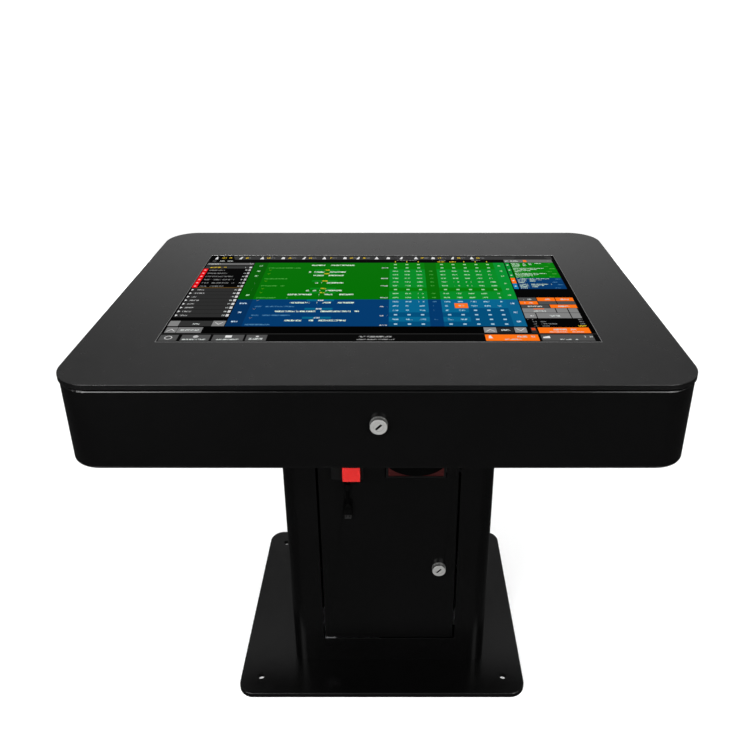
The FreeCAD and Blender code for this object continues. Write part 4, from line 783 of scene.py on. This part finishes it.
def draw_foot(screen):
    """The strip along the near edge, with the pager of the board just above it."""
    screen.block(0, 100, 92.5, 93.1, COAL)
    screen.block(0, 100, 93.1, 99.6, NIGHT)
    screen.block(0, 100, 99.6, 100, COAL)
    for left, right in ((0.3, 4.4), (5.2, 11.7), (12.3, 19.4), (19.9, 24.6)):
        screen.block(left, right, 93.7, 99.1, ASH)
    screen.dot(2.3, 96.3, 0.95, linear(200, 200, 200))
    screen.dot(2.3, 96.3, 0.7, ASH)
    screen.dot(8.4, 95.3, 0.65, linear(185, 185, 185))
    screen.words(5.6, 11.3, 97.1, 98.6)
    screen.block(15.1, 16.6, 94.2, 96.2, WHITE)
    screen.words(13.3, 18.4, 97.1, 98.6)
    screen.words(20.6, 23.8, 96.2, 98.5)
    screen.dot(22.4, 95.2, 0.4, linear(200, 200, 200))
    screen.words(45.5, 52.9, 94.5, 96.2, linear(175, 175, 175))
    screen.words(45.0, 53.6, 97.2, 98.5, linear(150, 150, 150))
    screen.block(74.2, 86.3, 93.4, 99.1, ORANGE)
    screen.shape([(74.9, 96.8), (75.9, 96.8), (75.5, 94.3), (75.1, 94.3)], WHITE)
    screen.words(81.5, 86.0, 94.3, 96.4)
    screen.words(78.5, 82.4, 97.2, 98.4)
    screen.block(86.9, 98.8, 93.4, 99.1, ASH)
    screen.shape([(87.3, 96.7), (88.9, 96.7), (88.9, 94.6), (87.3, 95.6)], WHITE)
    screen.words(96.7, 98.6, 94.3, 96.4)
    screen.words(91.0, 95.0, 97.2, 98.4)
    screen.block(74.3, 77.2, 86.7, 91.6, linear(140, 140, 140))
    screen.chevron(75.75, 89.3, 0.95, 1.0, WHITE)
    screen.block(77.3, 81.2, 86.7, 91.6, linear(38, 39, 41))
    screen.words(78.3, 80.4, 88.2, 90.2)
    screen.block(81.4, 84.2, 86.7, 91.6, linear(140, 140, 140))
    screen.chevron(82.8, 89.0, 0.95, 1.0, WHITE, up=False)


def make_display():
    """One glass slab whose top is cut along every block's edges, so each face has one colour."""
    screen = Display()
    screen.block(0, 100, 0, 100, BLACK)
    for draw in (draw_tabs, draw_menu, draw_board, draw_slip, draw_foot):
        draw(screen)
    wide, deep = glass_high.x - glass_low.x, glass_high.y - glass_low.y
    spots, outlines = [], []
    for corners, _, _ in screen.panels:
        outlines.append(range(len(spots), len(spots) + len(corners)))
        spots += [Vector((glass_low.x + wide * x / 100, glass_high.y - deep * y / 100))
                  for x, y in corners]
    points, _, faces, _, _, covers = geometry.delaunay_2d_cdt(
        spots, [], [list(outline) for outline in outlines], 1, 0.02 * MM)

    build = bmesh.new()
    paper = build.loops.layers.float_color.new("paper")
    ink = build.loops.layers.float_color.new("ink")
    top = [build.verts.new((x, y, glass_high.z)) for x, y in points]
    for face, cover in zip(faces, covers):
        drawn = [screen.panels[index] for index in sorted(cover)]
        made = build.faces.new([top[index] for index in face])
        papers = [shown[1] for shown in drawn if shown[1]]
        for loop in made.loops:
            loop[paper] = papers[-1]
            loop[ink] = drawn[-1][2]
    bmesh.ops.recalc_face_normals(build, faces=build.faces)
    rim = [edge for edge in build.edges if edge.is_boundary]
    extend_rim(build, rim, (0, 0, glass_low.z - glass_high.z))
    bmesh.ops.recalc_face_normals(build, faces=build.faces)
    piece = piece_from(build, "screen_face", FINISHES["screen"])
    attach(piece, "lid")
    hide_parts("touch_glass")


make_display()


# ---------------------------------------------------------------- floor, lights, surroundings

def soft_light(name, spot, target, wide, high, watts):
    """A rectangular lamp that faces the target, and that the camera doesn't see."""
    data = bpy.data.lights.new(name, "AREA")
    data.shape = "RECTANGLE"
    data.size = wide
    data.size_y = high
    data.energy = watts
    light = bpy.data.objects.new(name, data)
    light.location = spot
    light.rotation_euler = (Vector(target) - Vector(spot)).to_track_quat("-Z", "Y").to_euler()
    light.visible_camera = False
    bpy.context.scene.collection.objects.link(light)


def make_floor():
    """A wide pale floor that glows more the farther out it is, to meet the white surroundings."""
    build = bmesh.new()
    bmesh.ops.create_circle(build, cap_ends=True, radius=60, segments=96)
    paint = Nodes("studio_floor")
    shade = paint.mix(paint.ranged(paint.noise(0.6, 2), 0, 1), grey(0.60), grey(0.62))
    away = paint.node("VectorMath", {0: paint.place}, operation="LENGTH").outputs["Value"]
    lit = paint.ranged(away, 0.45, 1.0, 1.2, 5.0)
    floor = piece_from(build, "studio_floor", paint.surface(
        colour=shade, rough=0.9, specular=0.0, glow=(1, 1, 1, 1), glow_strength=lit))
    floor.location.z = cad_box[0].z
    floor.visible_glossy = False


def make_lights():
    """One lamp overhead, two in front, and a low one behind that lights the rear."""
    edge = Vector((0, lid_low.y, lid_low.z))
    soft_light("overhead", (0, 0.4, 3.4), edge, 4.0, 4.0, 60)
    soft_light("front_left", (-1.35, -1.9, 1.5), edge, 1.2, 1.8, 90)
    soft_light("front_right", (1.5, -1.9, 1.5), edge, 1.1, 1.8, 80)
    soft_light("low_back", (0, 2.3, 0.42), (0, 0.3, 0.5), 2.6, 0.6, 34)


# The surroundings' brightness by height, from the horizon (0) to overhead (1), and how it falls
# off to the sides.
HORIZON, LOW_SKY = (0.0, 0.08), (0.08, 0.50)
UPPER_SKY = ((0.30, 0.80), (0.41, 0.42), (0.52, 0.27))
SIDE_FALLOFF = {"From Min": 0.16, "From Max": 0.46, "To Min": 1.0, "To Max": 0.42}


def make_surroundings():
    """White to the camera, and a soft sky to every other ray."""
    world = bpy.data.worlds.new("studio")
    bpy.context.scene.world = world
    world.use_nodes = True
    tree = world.node_tree
    heading = tree.nodes.new("ShaderNodeTexCoord").outputs["Generated"]
    parts = tree.nodes.new("ShaderNodeSeparateXYZ")
    tree.links.new(heading, parts.inputs[0])
    ramp = tree.nodes.new("ShaderNodeValToRGB")
    tree.links.new(parts.outputs["Z"], ramp.inputs["Fac"])
    stops = ramp.color_ramp.elements
    for stop, (height, shade) in zip(stops, (HORIZON, LOW_SKY)):
        stop.position, stop.color = height, grey(shade)
    for height, shade in UPPER_SKY:
        stops.new(height).color = grey(shade)
    aside = tree.nodes.new("ShaderNodeMath")
    aside.operation = "ABSOLUTE"
    tree.links.new(parts.outputs["X"], aside.inputs[0])
    falloff = tree.nodes.new("ShaderNodeMapRange")
    tree.links.new(aside.outputs[0], falloff.inputs["Value"])
    for key, value in SIDE_FALLOFF.items():
        falloff.inputs[key].default_value = value
    sky = tree.nodes.new("ShaderNodeVectorMath")
    sky.operation = "SCALE"
    tree.links.new(ramp.outputs["Color"], sky.inputs[0])
    tree.links.new(falloff.outputs["Result"], sky.inputs["Scale"])
    seen = tree.nodes.new("ShaderNodeLightPath").outputs["Is Camera Ray"]
    choice = tree.nodes.new("ShaderNodeMix")
    choice.data_type = "RGBA"
    tree.links.new(seen, choice.inputs["Factor"])
    tree.links.new(sky.outputs["Vector"], choice.inputs["A"])
    choice.inputs["B"].default_value = grey(1)
    tree.links.new(choice.outputs["Result"], tree.nodes["Background"].inputs["Color"])
    bpy.context.scene.view_settings.view_transform = "Standard"


make_floor()
make_lights()
make_surroundings()
